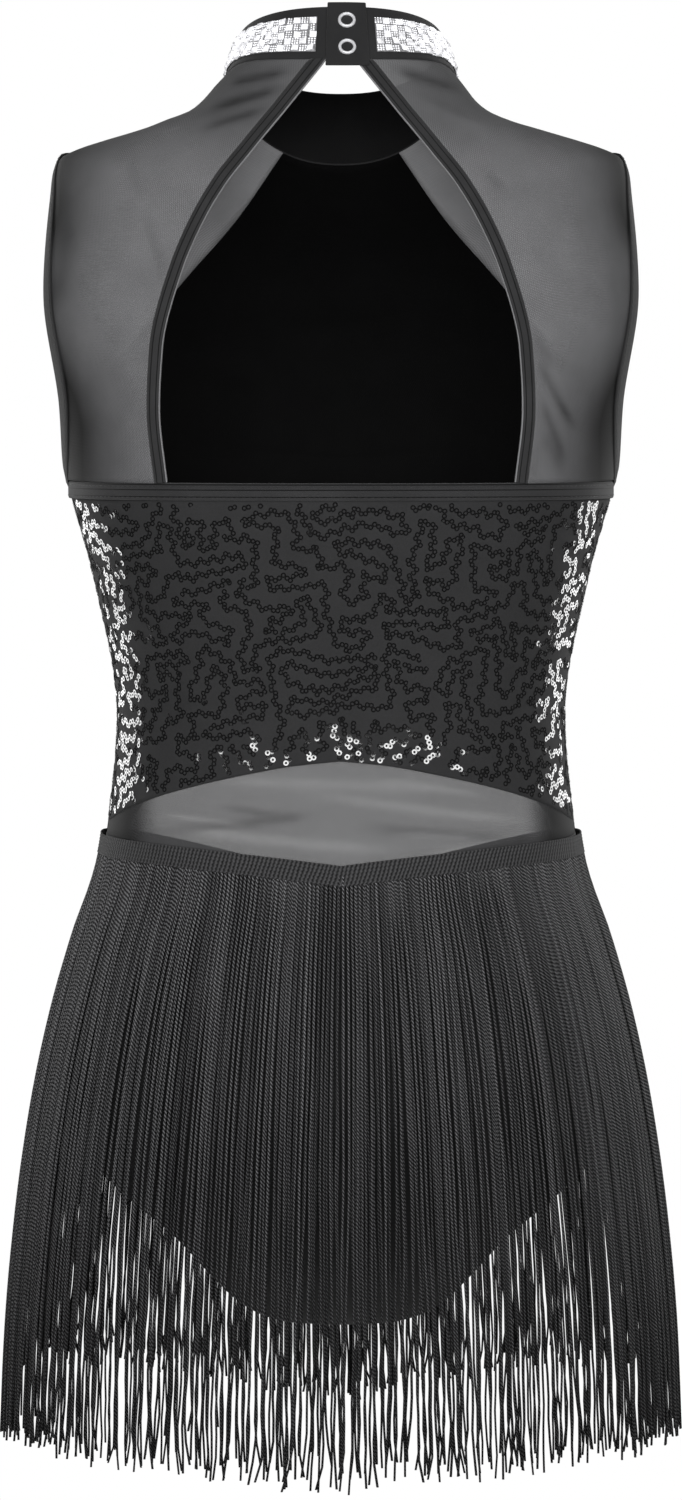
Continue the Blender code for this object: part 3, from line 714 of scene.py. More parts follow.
shoulders = {
    "backFolds": {
        "left": [
            (24, 0, 58, -6, 2.6, -1.1), (27, -8, 68, -19, 2.8, -1.3), (34, -18, 72, -29, 2.6, -1.1),
            (50, 1, 96, -32, 4.5, 1.0), (84, -105, 97, -64, 2.4, -0.9), (97, -64, 104, -40, 3, -0.6),
            (94, -150, 128, -128, 7, 0.9), (96, -176, 126, -160, 5, 0.8), (128, -66, 141, -120, 5, -0.7),
        ],
        "right": [
            (26, 1, 60, -9, 2.6, -1.2), (60, -9, 96, -24, 4, -0.8), (30, -12, 74, -30, 3, 0.8),
            (70, -49, 80, -59, 2.5, -0.8), (94, -128, 104, -145, 2.2, -1.0),
            (95, -139, 114, -175, 2.4, -1.3), (97, -158, 110, -192, 2.4, -1.3),
            (96, -173, 109, -196, 2.6, -0.9), (122, -96, 140, -120, 6, 0.7),
        ],
    },
    "creaseShade": 0.45,
    "creaseCap": 1.2,
    # Where the back mesh is painted darker and denser, as shade where it turns from the light: how much, and
    # where across and down that begins and is full.
    "shadedSpots": [
        (0.4, (100, 136), (-98, -62)),  # shoulder tip
        (0.3, (96, 138), (-190, -120)),  # along the armhole
        (0.6, (124, 142), (-40, -70)),
        (0.95, (94, 124), (-114, -178)),  # underarm
        (0.6, (116, 134), (-114, -178)),
        (0.25, (-1, 0), (-120, -180)),  # all along the lower edge
    ],
    "neckShade": {"left": 0.7, "right": 0.5},
    "neckSpot": ((84, 52), (-58, -22)),
    # The painted shade along the shoulder seam: how far it reaches, above which heights, how much, and how
    # much more outwards.
    "seamReach": 34,
    "seamHeights": (-98, -74),
    "seamShade": 0.9,
    "seamOutwards": (60, 100),
    # Painted shade on the front mesh near the shoulder seam: how much, and how far it reaches.
    "frontSeam": {"shade": 1.8, "reach": 15},
    "frontFolds": [
        (46, -30, 110, -70, 5, 1.1), (60, -44, 128, -108, 5, -1.0), (84, -52, 136, -90, 6, 0.9),
    ],
    "bindingThick": 1.1,  # half of it, as for the other strips
    "bindingRoll": 0.2,
    "bindingLap": 2.0,  # half of how far the armhole binding laps over the mesh
    "threadSunk": 0.98,
    "stitchAt": {"keyhole": 0.62, "armhole": 0.55},  # share of the half width at which each binding is sewn
    "stitch": {"step": 3.1, "long": 2.3, "radius": 0.17},
}


def stitchRow(points, out, step, long, radius):  # one running line of thread, as small closed grains
    length = runLengths(points[:, None], 0)[:, 0]
    starts = np.arange(step / 2, length[-1] - step / 2, step)

    def at(place, values):
        return np.stack([np.interp(place, length, values[:, k]) for k in range(3)], -1)

    centre = at(starts, points)
    along = at(starts + long / 2, points) - at(starts - long / 2, points)
    along /= np.linalg.norm(along, axis=1, keepdims=True)
    up = at(starts, out)
    side = np.cross(up, along)
    side /= np.linalg.norm(side, axis=1, keepdims=True)
    up = np.cross(along, side)
    grain, faces = grainShape(long, radius)
    return joinCopies(grain, faces, centre, np.stack([along, side, up], 1))


def grainShape(long, radius, sides=6):  # one stitch, thinner towards its two points
    rings = [(-0.5, 0.25), (-0.3, 1.0), (0.3, 1.0), (0.5, 0.25)]
    turn = np.linspace(0, 2 * math.pi, sides, endpoint=False)
    points = [(at * long, wide * radius * math.cos(a), wide * radius * math.sin(a))
              for at, wide in rings for a in turn]
    points += [(-0.52 * long, 0, 0), (0.52 * long, 0, 0)]
    faces = []
    for ring in range(len(rings) - 1):
        for k in range(sides):
            a, b = ring * sides + k, ring * sides + (k + 1) % sides
            faces += [(a, b, b + sides), (a, b + sides, a + sides)]
    last = (len(rings) - 1) * sides
    for k in range(sides):
        n = (k + 1) % sides
        faces += [(len(points) - 2, n, k), (len(points) - 1, last + k, last + n)]
    return np.array(points), np.array(faces)


def joined(parts):
    points, faces, count = [], [], 0
    for somePoints, someFaces in parts:
        points.append(somePoints)
        faces.append(someFaces + count)
        count += len(somePoints)
    return np.concatenate(points), np.concatenate(faces)


def armRun(oval, face, first=0, last=None):
    last = cut["armSteps"] if last is None else last
    return armEdge(oval, face, np.linspace(first, last, (last - first) * fine + 1))


def shoulderSeam():
    end = armEdge("armSewn", back, np.array([0.0]))[0, 0]
    levels = np.linspace(0, end, 4 * fine + 1)[:-1]
    return np.stack([levels, 0 * levels], -1)


def halterRun(count):
    run = edgeRun(halterEdge, front, count)
    run[0, 0] = 0
    end = armEdge("armSewn", front, np.array([float(cut["halterStep"])]))[0]
    run[-1] = end + cut["halterEnd"]
    return run


def edgeBinding(name, free, sewn, material, side, closed=False, lap=0.0):
    a, b = onSkin(free), onSkin(sewn)
    middle = (free + sewn) / 2
    across = b - a
    half = np.linalg.norm(across, axis=1) / 2
    across /= 2 * half[:, None]
    centre, half = onSkin(middle) + across * lap, half + lap
    out = outward(skin, middle[:, 0], middle[:, 1])
    out -= across * (out * across).sum(1, keepdims=True)
    out /= np.linalg.norm(out, axis=1, keepdims=True)
    flip = np.array((side, 1, 1))
    centre, across, out = centre * flip, across * flip, out * flip
    wide = half + shoulders["bindingRoll"]
    piece = sweep(name, centre, across, out, wide, shoulders["bindingThick"], material, closed=closed)
    return piece, (centre, across, out, half)


def stitchedStrip(strip, share, closed=False):
    centre, across, out, half = strip
    top = centre + out * shoulders["bindingThick"] * shoulders["threadSunk"]
    line = top + across * half[:, None] * share
    if closed:
        line, out = np.concatenate([line, line[:1]]), np.concatenate([out, out[:1]])
    return stitchRow(line, out, **shoulders["stitch"])


def sewOn(name, rows):
    piece = makeMesh(name, *joined(rows), material=knit["threadFinish"])
    piece.data.uv_layers.new(name="cut")  # blank, but the finish reads it
    dress(piece, "knit_binding")


def seamDistance(points, levels):
    return np.linalg.norm(points - skin(levels, 0 * levels), axis=-1)


def shoulderToneAndShade(points, levels, lift, hand):
    x, z = points[..., 0], points[..., 2]
    # Darker along the shoulder seam, at the spots in the table and in each crease: painted shade, and near
    # the neck partly the mesh's own gathering.
    seam = np.exp(-((seamDistance(points, levels) / shoulders["seamReach"]) ** 2))
    seam *= rise(*shoulders["seamHeights"], z) * (1 + rise(*shoulders["seamOutwards"], x))
    spots = [*shoulders["shadedSpots"], (shoulders["neckShade"][hand], *shoulders["neckSpot"])]
    shadedSpots = sum(weight * rise(*across, x) * rise(*down, z) for weight, across, down in spots)
    crease = np.clip(-lift, 0, shoulders["creaseCap"])
    return shoulders["seamShade"] * seam + shadedSpots + shoulders["creaseShade"] * crease


def makeShoulders():
    backOuter = np.concatenate([shoulderSeam(), armRun("armSewn", back)])
    keyholeFree = edgeRun(keyholeEdge, back, len(backOuter))
    keyholeSewn = widened(keyholeFree, back, cut["keyholeBinding"])
    keyholeFree[0, 0] = keyholeSewn[0, 0] = 0
    frontOuter = np.concatenate([shoulderSeam(), armRun("armSewn", front, 0, cut["halterStep"])])
    halter = halterRun(len(frontOuter))
    loops = {}
    for oval in ("armFree", "armSewn"):
        loops[oval] = np.concatenate([armRun(oval, back), armRun(oval, front)[-2:0:-1]])
    for side, hand in ((1, "left"), (-1, "right")):
        flip = np.array((side, 1, 1))
        levels, angles, points = sheetBetween(keyholeSewn, backOuter, 56)
        lift = foldLift(points, shoulders["backFolds"][hand])
        toneAndShade = shoulderToneAndShade(points, levels, lift, hand)
        points = lifted(levels, angles, points, lift)
        piece = clothPiece(f"backMesh.{hand}", points * flip, sheer["wall"], shoulderMesh)
        shaded(piece, toneAndShade)
        dress(piece, "sheer_mesh", f"back_mesh_{hand}")

        levels, angles, points = sheetBetween(frontOuter, halter, 30)
        points = lifted(levels, angles, points, foldLift(points, shoulders["frontFolds"]))
        piece = clothPiece(f"frontMesh.{hand}", points * flip, sheer["wall"], chestMesh)
        # Painted shade along the shoulder seam of the front mesh.
        nearSeam = seamDistance(points, levels) / shoulders["frontSeam"]["reach"]
        shaded(piece, shoulders["frontSeam"]["shade"] * np.exp(-(nearSeam**2)))
        dress(piece, "sheer_mesh", f"front_mesh_{hand}")

        piece, strip = edgeBinding(
            f"keyholeBinding.{hand}", keyholeFree, keyholeSewn, knit["keyholeKnit"], side)
        dress(piece, "knit_binding", f"keyhole_binding_{hand}")
        stitches = [stitchedStrip(strip, shoulders["stitchAt"]["keyhole"])]
        piece, strip = edgeBinding(
            f"armholeBinding.{hand}", loops["armFree"], loops["armSewn"], knit["bindingKnit"], side,
            closed=True, lap=shoulders["bindingLap"])
        dress(piece, "knit_binding", f"armhole_binding_{hand}")
        stitches.append(stitchedStrip(strip, shoulders["stitchAt"]["armhole"], closed=True))
        sewOn(f"bindingStitches.{hand}", stitches)


makeShoulders()
print("shoulders, open back's edges and armholes made")

# The front bodice and the sheer window in its waist.

bodice = {
    "wall": 1.2,
    "middleEase": 0.8,
    "rowCounts": (14, 4, 7),  # the solid's rows along the halter, the armhole and the side
    "folds": [
        (-20, -120, 30, -126, 6, 0.8), (40, -150, 92, -138, 6, -0.9), (-96, -210, -30, -222, 7, 0.9),
        (28, -232, 104, -214, 7, -0.8), (-88, -300, -30, -312, 6, 0.9), (22, -306, 96, -292, 6, 0.9),
        (-108, -250, -60, -262, 6, -0.8),
    ],
}
waist = {
    "wall": 0.5,
    "cornerShade": 1.5,
    "cornerFrom": (88, 106),  # where the painted darkening at the corners begins, and where it is deepest
    "creaseShade": 0.36,
    "creaseCap": 1.2,
    "frontShade": 0.3,
    "frontTurns": (27, 90),  # degrees from the side that the front window spans
    "backFolds": [
        (-96, -366, 20, -350, 2.4, 1.4), (-88, -374, -8, -366, 2.4, -1.3), (-60, -348, 70, -344, 3, 1.2),
        (-30, -378, 90, -368, 2.4, 1.6), (10, -360, 100, -372, 2.4, -1.3), (-104, -372, -40, -381, 2.4, 1.3),
        (70, -368, 4, -376, 1.5, 1.4), (60, -357, 16, -363, 1.5, -1.2), (-16, -343, -70, -352, 1.5, 1.2),
        (-24, -369, -72, -373, 1.3, 1.3), (88, -362, 44, -366, 1.3, 1.3),
    ],
    "frontFolds": [
        (-80, -360, 40, -352, 3, 1.4), (-60, -382, 20, -374, 3, -1.3), (-30, -396, 70, -380, 3, 1.4),
        (20, -366, 84, -378, 3, -1.2),
    ],
}


def sideRun(top, bottom, count):
    ends = levelAt(np.array((top, bottom)), 0.0)
    levels = np.linspace(ends[0], ends[1], count)
    return np.stack([levels, 0 * levels], -1)


def frontGrid(columns):
    halterRows, armRows, sideRows = bodice["rowCounts"]
    sideSteps = (sideRows - 1) * fine + 1
    outer = np.concatenate([
        halterRun(halterRows * fine + 1),
        armRun("armSewn", front, cut["halterStep"]),
        sideRun(cut["bandTop"], cut["seamSide"], sideSteps)[1:],
    ])
    ticks = np.concatenate([
        np.linspace(0, halterRows, halterRows * fine + 1),
        np.linspace(halterRows + 1, halterRows + 1 + armRows, armRows * fine + 1),
        np.linspace(halterRows + 1 + armRows, halterRows + armRows + sideRows, sideSteps)[1:],
    ])
    down = ticks / ticks[-1]
    lowest = levelAt(cut["seamSide"], -halfPi)
    middle = np.stack([lowest * down ** bodice["middleEase"], 0 * down - halfPi], -1)
    levels, angles, points = sheetBetween(outer, middle, columns)
    # Under the armhole the rows ease into the window's arch.
    first = (halterRows * fine + 1) + armRows * fine
    start = points[first, :, 2]
    shares = (np.arange(len(levels) - first) / (len(levels) - 1 - first))[:, None]
    across = angles[-1]
    lower = start + (windowHeight(across) - start) * shares
    turns = np.broadcast_to(across, lower.shape)
    levels[first:] = levelAt(lower, turns)
    angles[first:] = turns
    return levels, angles


def heightGrid(upper, lower, angles, rows):  # levels and angles of a panel between two heights
    shares = np.linspace(0, 1, rows)[:, None]
    heights = upper(angles) + (lower(angles) - upper(angles)) * shares
    turns = np.broadcast_to(angles, heights.shape)
    return levelAt(heights, turns), turns


def wholeGrid(levels, angles, folds):  # points and directions of both halves, with the folds across them
    points = skin(levels, angles)
    out = outward(skin, levels, angles)
    points, out = bothSides(points), bothSides(out)
    return points + out * foldLift(points, folds)[..., None], out


def makeFront():
    levels, angles = frontGrid(64)
    points, _ = wholeGrid(levels, angles, bodice["folds"])
    piece = clothPiece("frontBodice", points, bodice["wall"], knit["sequinGround"], knit["innerKnit"])
    dress(piece, "sequin_cloth", "front_bodice")
    angles = -np.radians(np.linspace(*waist["frontTurns"], 60))
    levels, turns = heightGrid(windowHeight, waistSeam, angles, 28)
    points, _ = wholeGrid(levels, turns, waist["frontFolds"])
    piece = clothPiece("frontWaistMesh", points, waist["wall"], waistMesh)
    shaded(piece, waist["frontShade"] + 0 * points[..., 0])
    dress(piece, "sheer_mesh", "front_waist_mesh")


def lowerBackGrid():
    bottom = cut["bandTop"] - cut["bandDepth"]
    return heightGrid(lambda a: bottom + 0 * a, archHeight, np.linspace(0, halfPi, 90), 70)


def makeBack():
    levels, turns = lowerBackGrid()
    points, _ = wholeGrid(levels, turns, lowerBack["folds"])
    piece = clothPiece("backSequinPanel", points, bodice["wall"], knit["sequinGround"], knit["innerKnit"])
    dress(piece, "sequin_cloth", "back_sequin_panel")

    angles = np.linspace(0, halfPi, 90)
    levels, turns = heightGrid(archHeight, waistSeam, angles, 26)
    points, _ = wholeGrid(levels, turns, waist["backFolds"])
    piece = clothPiece("backWaistMesh", points, waist["wall"], waistMesh)
    # Painted shade in the folds' troughs and painted highlight along their ridges; the corners are painted
    # darker and denser, partly for the doubled mesh and partly as shade where it turns to the side.
    crease = np.clip(-foldLift(points, waist["backFolds"]), -waist["creaseCap"], waist["creaseCap"])
    corner = rise(*waist["cornerFrom"], np.abs(points[..., 0]))
    shaded(piece, waist["cornerShade"] * corner + waist["creaseShade"] * crease)
    dress(piece, "sheer_mesh", "back_waist_mesh")

    middle = cut["bandTop"] - cut["bandDepth"] / 2
    levels, turns = heightGrid(lambda a: middle + 0 * a, lambda a: middle + 0 * a, angles, 2)
    centre, out = (grid[0] for grid in wholeGrid(levels, turns, []))
    across = np.broadcast_to(np.array((0.0, 0.0, -1.0)), centre.shape)
    half = cut["bandDepth"] / 2
    piece = sweep("backBand", centre, across, out, half, lowerBack["bandThick"], knit["bandKnit"], sides=20)
    dress(piece, "knit_binding", "back_band")
    sewOn("bandStitches", [
        stitchRow(centre + out * lowerBack["threadOut"] + across * half * share, out, **shoulders["stitch"])
        for share in lowerBack["stitchAt"]
    ])


lowerBack = {
    "bandThick": 1.1,
    "threadOut": 1.08,
    "stitchAt": (0.62, -0.62),
    "folds": [
        (-90, -226, -30, -240, 7, 0.8), (20, -228, 96, -222, 7, 0.7), (-104, -300, -40, -318, 6, 0.9),
        (30, -310, 98, -296, 6, 0.8), (-60, -268, 10, -276, 8, 0.6),
    ],
}

makeFront()
makeBack()
print("front bodice, lower back, band and waist meshes made")

# Sequins: one sort, sewn in long chains that wander evenly over the cloth without crossing.

sequins = {
    "pitch": 2.45,
    "lane": 6.8,  # between two neighbouring runs of a chain
    "upright": 0.05,  # how much rarer a lane is that runs up and down
    "jitter": 0.2,  # share of a lane by which each corner of the path strays
    "fineStep": 0.8,
    "lobe": (5.2, 8.6),  # length of the lobes along a run
    "lobeHeight": (1.0, 2.7),
    "clear": 3.9,  # how far apart the lobes of two runs are kept
    "passes": 4,
    "ownRun": 6,  # spots as near as this along a chain don't push each other
    "give": 6,
    # How the lanes are bent: size, lengths of the wave across and down, and where it starts.
    "bendAcross": ((3.0, 73, 47, 0.4), (1.2, -41, 31, 2.1)),
    "bendDown": ((3.0, 49, -87, 1.3), (1.2, 33, 43, 4.0)),
    "apart": 2.2,
    "outer": 1.36,
    "hole": 0.62,
    "cup": 0.015,
    "lift": 0.75,
    "tilt": 4.4,
    "scatter": 0.35,
    "alike": 2.3,  # how many neighbours along a chain lie alike
    "margin": 1.9,
    # Each face has its own chain: how many pairs of lanes across and down, its seed and its first ring.
    "cells": {back: (30, 17), front: (30, 30)},
    "seed": {back: 5, front: 9},
    "firstLevel": {back: 6.0, front: 0.0},
    "lastLevel": 9.6,
    "origin": (-199, -4),
}


def bend(spots, waves):  # how far slow waves move each spot along one axis
    x, y = spots.T
    return sum(size * np.sin(2 * math.pi * (x / across + y / down) + start)
               for size, across, down, start in waves)


def randomTree(cellsAcross, cellsDown, chance):  # the cells that are linked to the next one right or below
    right, below = set(), set()
    seen = {(0, 0)}
    rim = [(0.0, (0, 0), (1, 0)), (0.0, (0, 0), (0, 1))]
    while rim:
        _, old, new = heapq.heappop(rim)
        if new in seen:
            continue
        seen.add(new)
        (a, b), (c, _) = sorted((old, new))
        (right if c > a else below).add((a, b))
        for step in ((1, 0), (-1, 0), (0, 1), (0, -1)):
            spot = (new[0] + step[0], new[1] + step[1])
            if 0 <= spot[0] < cellsAcross and 0 <= spot[1] < cellsDown and spot not in seen:
                cost = chance.random() + (sequins["upright"] if step[1] else 0)
                heapq.heappush(rim, (cost, new, spot))
    return right, below


def pathRound(cellsAcross, cellsDown, right, below):  # the closed path that keeps close round the tree
    links = {}

    def tie(a, b):
        links.setdefault(a, []).append(b)
        links.setdefault(b, []).append(a)

    for i in range(cellsAcross):
        for j in range(cellsDown):
            x, y = 2 * i, 2 * j
            if (i, j) in right:
                tie((x + 1, y), (x + 2, y))
                tie((x + 1, y + 1), (x + 2, y + 1))
            else:
                tie((x + 1, y), (x + 1, y + 1))
            if (i - 1, j) not in right:
                tie((x, y), (x, y + 1))
            if (i, j) in below:
                tie((x, y + 1), (x, y + 2))
                tie((x + 1, y + 1), (x + 1, y + 2))
            else:
                tie((x, y + 1), (x + 1, y + 1))
            if (i, j - 1) not in below:
                tie((x, y), (x + 1, y))
    path, before, here = [], None, (0, 0)
    while True:
        path.append(here)
        following = [spot for spot in links[here] if spot != before] or links[here]
        before, here = here, following[0]
        if here == (0, 0):
            return path


def wanderingChain(cellsAcross, cellsDown, chance):
    # The path round a random tree over wide cells passes every lane once and never crosses itself.
    path = pathRound(cellsAcross, cellsDown, *randomTree(cellsAcross, cellsDown, chance))
    lane, jitter = sequins["lane"], sequins["jitter"]
    spots = np.array(path, float) * lane
    spots += np.array([[chance.uniform(-jitter, jitter) for _ in range(2)] for _ in path]) * lane
    spots += np.stack([bend(spots, sequins["bendAcross"]), bend(spots, sequins["bendDown"])], -1)
    for _ in range(3):  # rounds the corners
        after = np.roll(spots, -1, axis=0)
        spots = np.stack([spots * 0.75 + after * 0.25, spots * 0.25 + after * 0.75], 1).reshape(-1, 2)
    return spaced(lobed(spots, chance))


def lobed(spots, chance):  # pushes a run out to one side and the other, by turns
    length = runLengths(spots[:, None], 0)[:, 0]
    places, lobes, at = [0.0], [0.0], 0.0
    turned = 1
    while at < length[-1]:
        at += chance.uniform(*sequins["lobe"]) / 2
        turned = -turned
        places.append(at)
        lobes.append(turned * chance.uniform(*sequins["lobeHeight"]))
    even = np.arange(0, length[-1], sequins["fineStep"])
    spots = np.stack([np.interp(even, length, spots[:, k]) for k in range(2)], -1)
    way = np.gradient(spots, axis=0)
    way /= np.linalg.norm(way, axis=1, keepdims=True)
    part = np.interp(even, places, np.arange(len(places)))
    low = np.clip(part.astype(int), 0, len(lobes) - 2)
    ease = part - low
    ease = ease * ease * (3 - 2 * ease)
    lobes = np.array(lobes)
    push = lobes[low] * (1 - ease) + lobes[low + 1] * ease
    return (spots + np.stack([-way[:, 1], way[:, 0]], -1) * push[:, None])[::2]


def spaced(spots):  # pushes apart the runs of a chain that came too near each other
    clear = sequins["clear"]
    weights = np.hanning(7)[1:-1]  # each push is shared out over its neighbours
    weights /= weights.sum()
    for _ in range(sequins["passes"]):
        tree = kdtree.KDTree(len(spots))
        for k, spot in enumerate(spots):
            tree.insert((*spot, 0), k)
        tree.balance()
        push = np.zeros(spots.shape)
        for k, spot in enumerate(spots):
            for other, index, apart in tree.find_range((*spot, 0), clear):
                if abs(index - k) > sequins["ownRun"] and apart > 0.01:
                    push[k] += (spot - (other.x, other.y)) / apart * (clear - apart) / sequins["give"]
        push /= np.maximum(np.linalg.norm(push, axis=1, keepdims=True), 1)
        spots = spots + np.stack([np.convolve(push[:, k], weights, "same") for k in range(2)], -1)
    return spots


def formMap(face):  # arc lengths across and down one face, for laying chains evenly
    levels = np.linspace(sequins["firstLevel"][face], sequins["lastLevel"], 160)
    turns = np.linspace(0, halfPi, 200)
    grid = skin(*np.broadcast_arrays(levels[:, None], face * (halfPi - turns)[None, :]))
    return levels, turns, runLengths(grid, 1), runLengths(grid[:, :1], 0)[:, 0]


def layOnForm(spots, face):  # level, angle and side of each spot; the angle is nan past the side seam
    levels, turns, across, downMiddle = formMap(face)
    level = np.interp(spots[:, 1], downMiddle, levels)
    ring = np.interp(level, levels, np.arange(len(levels)))
    row = np.clip(ring.astype(int), 0, len(levels) - 2)
    part = ring - row
    turn = np.empty(len(spots))
    for k, far in enumerate(np.abs(spots[:, 0])):
        lengths = across[row[k]] * (1 - part[k]) + across[row[k] + 1] * part[k]
        turn[k] = np.interp(far, lengths, turns, right=np.nan)
    return level, face * (halfPi - turn), np.where(spots[:, 0] < 0, -1, 1)


def insideOutline(x, y, levels, angles):  # whether each spot lies inside a panel's grid
    runs = ((levels[:, 0], angles[:, 0]), (levels[-1, 1:], angles[-1, 1:]),
            (levels[-2::-1, -1], angles[-2::-1, -1]), (levels[0, -2:0:-1], angles[0, -2:0:-1]))
    outline = np.concatenate([np.stack(run, -1) for run in runs])
    inside = np.zeros(len(x), bool)
    before = outline[-1]
    for here in outline:
        crosses = (here[1] > y) != (before[1] > y)
        climb = before[1] - here[1]
        at = (before[0] - here[0]) * (y - here[1]) / (climb if climb else 1e-9) + here[0]
        inside ^= crosses & (x < at)
        before = here
    return inside


def fromEdges(here, levels, angles):  # distance from a panel's edges, apart from the one at its middle
    rim = skin(np.concatenate([levels[:, 0], levels[-1], levels[0]]),
               np.concatenate([angles[:, 0], angles[-1], angles[0]]))
    rim = np.concatenate([rim, mirroredX(rim)])
    apart = np.full(len(here), 1e9)
    for start in range(0, len(rim), 200):
        gap = np.linalg.norm(here[:, None] - rim[None, start:start + 200], axis=-1)
        apart = np.minimum(apart, gap.min(1))
    return apart


def ringShape(outer, hole, cup, sides=10):  # a flat sequin, a little cupped
    turn = np.linspace(0, 2 * math.pi, sides, endpoint=False)
    points = [(r * math.cos(a), r * math.sin(a), h) for r, h in ((hole, 0.0), (outer, cup)) for a in turn]
    faces = []
    for a in range(sides):
        b = (a + 1) % sides
        faces += [(a, a + sides, b + sides), (a, b + sides, b)]
    return np.array(points), np.array(faces)


def clearRings(places):  # leaves out each ring that would lie on an earlier one
    tree = kdtree.KDTree(len(places))
    for k, spot in enumerate(places):
        tree.insert(spot, k)
    tree.balance()
    kept = np.ones(len(places), bool)
    for k, spot in enumerate(places):
        near = [index for _, index, _ in tree.find_range(spot, sequins["apart"])]
        kept[k] = not any(kept[index] for index in near if index < k - 2)
    return kept


def ringsAlong(face, chance):  # level and signed angle from the middle of each ring of a chain
    spots = wanderingChain(*sequins["cells"][face], chance) + np.array(sequins["origin"])
    level, angle, side = layOnForm(spots, face)
    known = ~np.isnan(angle)
    points = skin(level, np.where(known, angle, 0)) * np.stack([side, 0 * side + 1, 0 * side + 1], -1)
    spacing = np.linalg.norm(np.diff(points, axis=0), axis=1)
    length = np.concatenate([[0], np.cumsum(spacing)])
    wanted = np.arange(0, length[-1], sequins["pitch"])

    def at(values):
        return np.interp(wanted, length, values)

    # Both run on smoothly where a chain crosses the middle. Past the side seam the angle is far too wide.
    fromMiddle = at(np.where(known, side * (halfPi - np.abs(angle)), 9.0))
    keep = (np.abs(fromMiddle) < halfPi) & (at(known.astype(float)) > 0.999)
    return at(level)[keep], fromMiddle[keep]


def sequinChains(name, face, levels, angles, folds, material):
    seed = sequins["seed"][face]
    level, fromMiddle = ringsAlong(face, random.Random(seed))
    angle = face * (halfPi - np.abs(fromMiddle))
    flip = np.stack([np.where(fromMiddle < 0, -1, 1), 0 * level + 1, 0 * level + 1], -1)
    here, out = skin(level, angle) * flip, outward(skin, level, angle) * flip
    keep = insideOutline(level, angle, levels, angles)
    keep &= fromEdges(here, levels, angles) > sequins["margin"]
    here, out = here[keep], out[keep]
    here = here + out * (foldLift(here, folds) + sequins["lift"])[:, None]
    clear = clearRings(here)
    here, out = here[clear], out[clear]
    dice = np.random.default_rng(seed)
    # Neighbours along a chain lie alike, so that a few of them catch the light together.
    together = np.stack([smoothNoise(len(out), sequins["alike"], dice) for _ in range(3)], -1)
    own = dice.normal(0, sequins["scatter"], out.shape)
    out = out + (together + own) * math.radians(sequins["tilt"])
    out /= np.linalg.norm(out, axis=1, keepdims=True)
    turns = dice.uniform(0, 2 * math.pi, len(out))
    side = np.cross(out, np.stack([np.cos(turns), np.sin(turns), 0 * turns], -1))
    side /= np.linalg.norm(side, axis=1, keepdims=True)
    along = np.cross(side, out)
    ring, faces = ringShape(sequins["outer"], sequins["hole"], sequins["cup"])
    points, faces = joinCopies(ring, faces, here, np.stack([along, side, out], 1))
    piece = makeMesh(name, points, faces, material=material)
    dress(piece, "sequin_cloth")
    print(name, len(here), "sequins")


def sequinFinish():
    finish = Finish("sequinFilm")
    cloud = finish.noise(240, 1, 0.5)
    return finish.set(
        baseColor=finish.mix(cloud, grey(0.002), grey(0.006)),
        roughness=cloud * 0.06 + 0.08,
        ior=2.0,
    )


sequinFilm = sequinFinish()


def makeSequins():
    sequinChains("backSequins", back, *lowerBackGrid(), lowerBack["folds"], sequinFilm)
    sequinChains("frontSequins", front, *frontGrid(64), bodice["folds"], sequinFilm)


makeSequins()
print("sequins sewn on")

# The brief and its gusset.

brief = {
    "wall": 1.0,
    "sideRows": 6,  # the solid's rows along the side and the leg
    "legRows": 9,
    "firstRow": 11.0,  # depth of the first row, which lies under the fringe's header
    "crotchDip": 3.0,
    "gussetSag": 3.0,
}


def briefHalf(face, leg, columns):
    count = fine * (brief["legRows"] - 1) + 1
    side = sideRun(cut["seamSide"], leg[0, 0], fine * (brief["sideRows"] - 1) + 1)
    outer = np.concatenate([side[:-1], edgeRun(leg, face, count)])
    end = atFace(np.array([0.0]), np.array([leg[-1, 0] - brief["crotchDip"]]), face)[0, 0]
    start = levelAt(waistSeam(face * halfPi), face * halfPi)
    middle = np.stack([np.linspace(start, end, len(outer)), np.full(len(outer), face * halfPi)], -1)
    levels, angles, _ = sheetBetween(outer, middle, columns)
    # The first rows follow the waist seam and then ease into the panel's own rows.
    turns = np.linspace(0, face * halfPi, columns)
    for row in range(fine + 1):
        drop = row / fine * brief["firstRow"]
        levels[row] = levelAt(waistSeam(turns) - drop, turns)
        angles[row] = turns
    return levels, angles


def makeBrief():
    edges = []
    for face, leg, name, node, cutArea in (
        (back, legBack, "briefBack", "brief_back", 0.071),
        (front, legFront, "briefFront", "brief_front", 0.061),
    ):
        levels, angles = briefHalf(face, leg, 44)
        points, _ = wholeGrid(levels, angles, [])
        edges.append(points[-1])
        piece = clothPiece(name, points, brief["wall"], knit["briefKnit"], knit["innerKnit"])
        dress(piece, "brief_knit", node)
    backEdge, frontEdge = edges
    shares = np.linspace(0, 1, 12)[:, None, None]
    points = backEdge[None] * (1 - shares) + frontEdge[None] * shares
    points[..., 2] -= brief["gussetSag"] * np.sin(math.pi * shares[..., 0])
    piece = clothPiece("briefGusset", points, brief["wall"], knit["briefKnit"], knit["innerKnit"])
    dress(piece, "brief_knit", "gusset")


makeBrief()
print("brief made")

# The collar: a stand band with a strip of stones round it, closed at the back by a tab with two ring snaps.

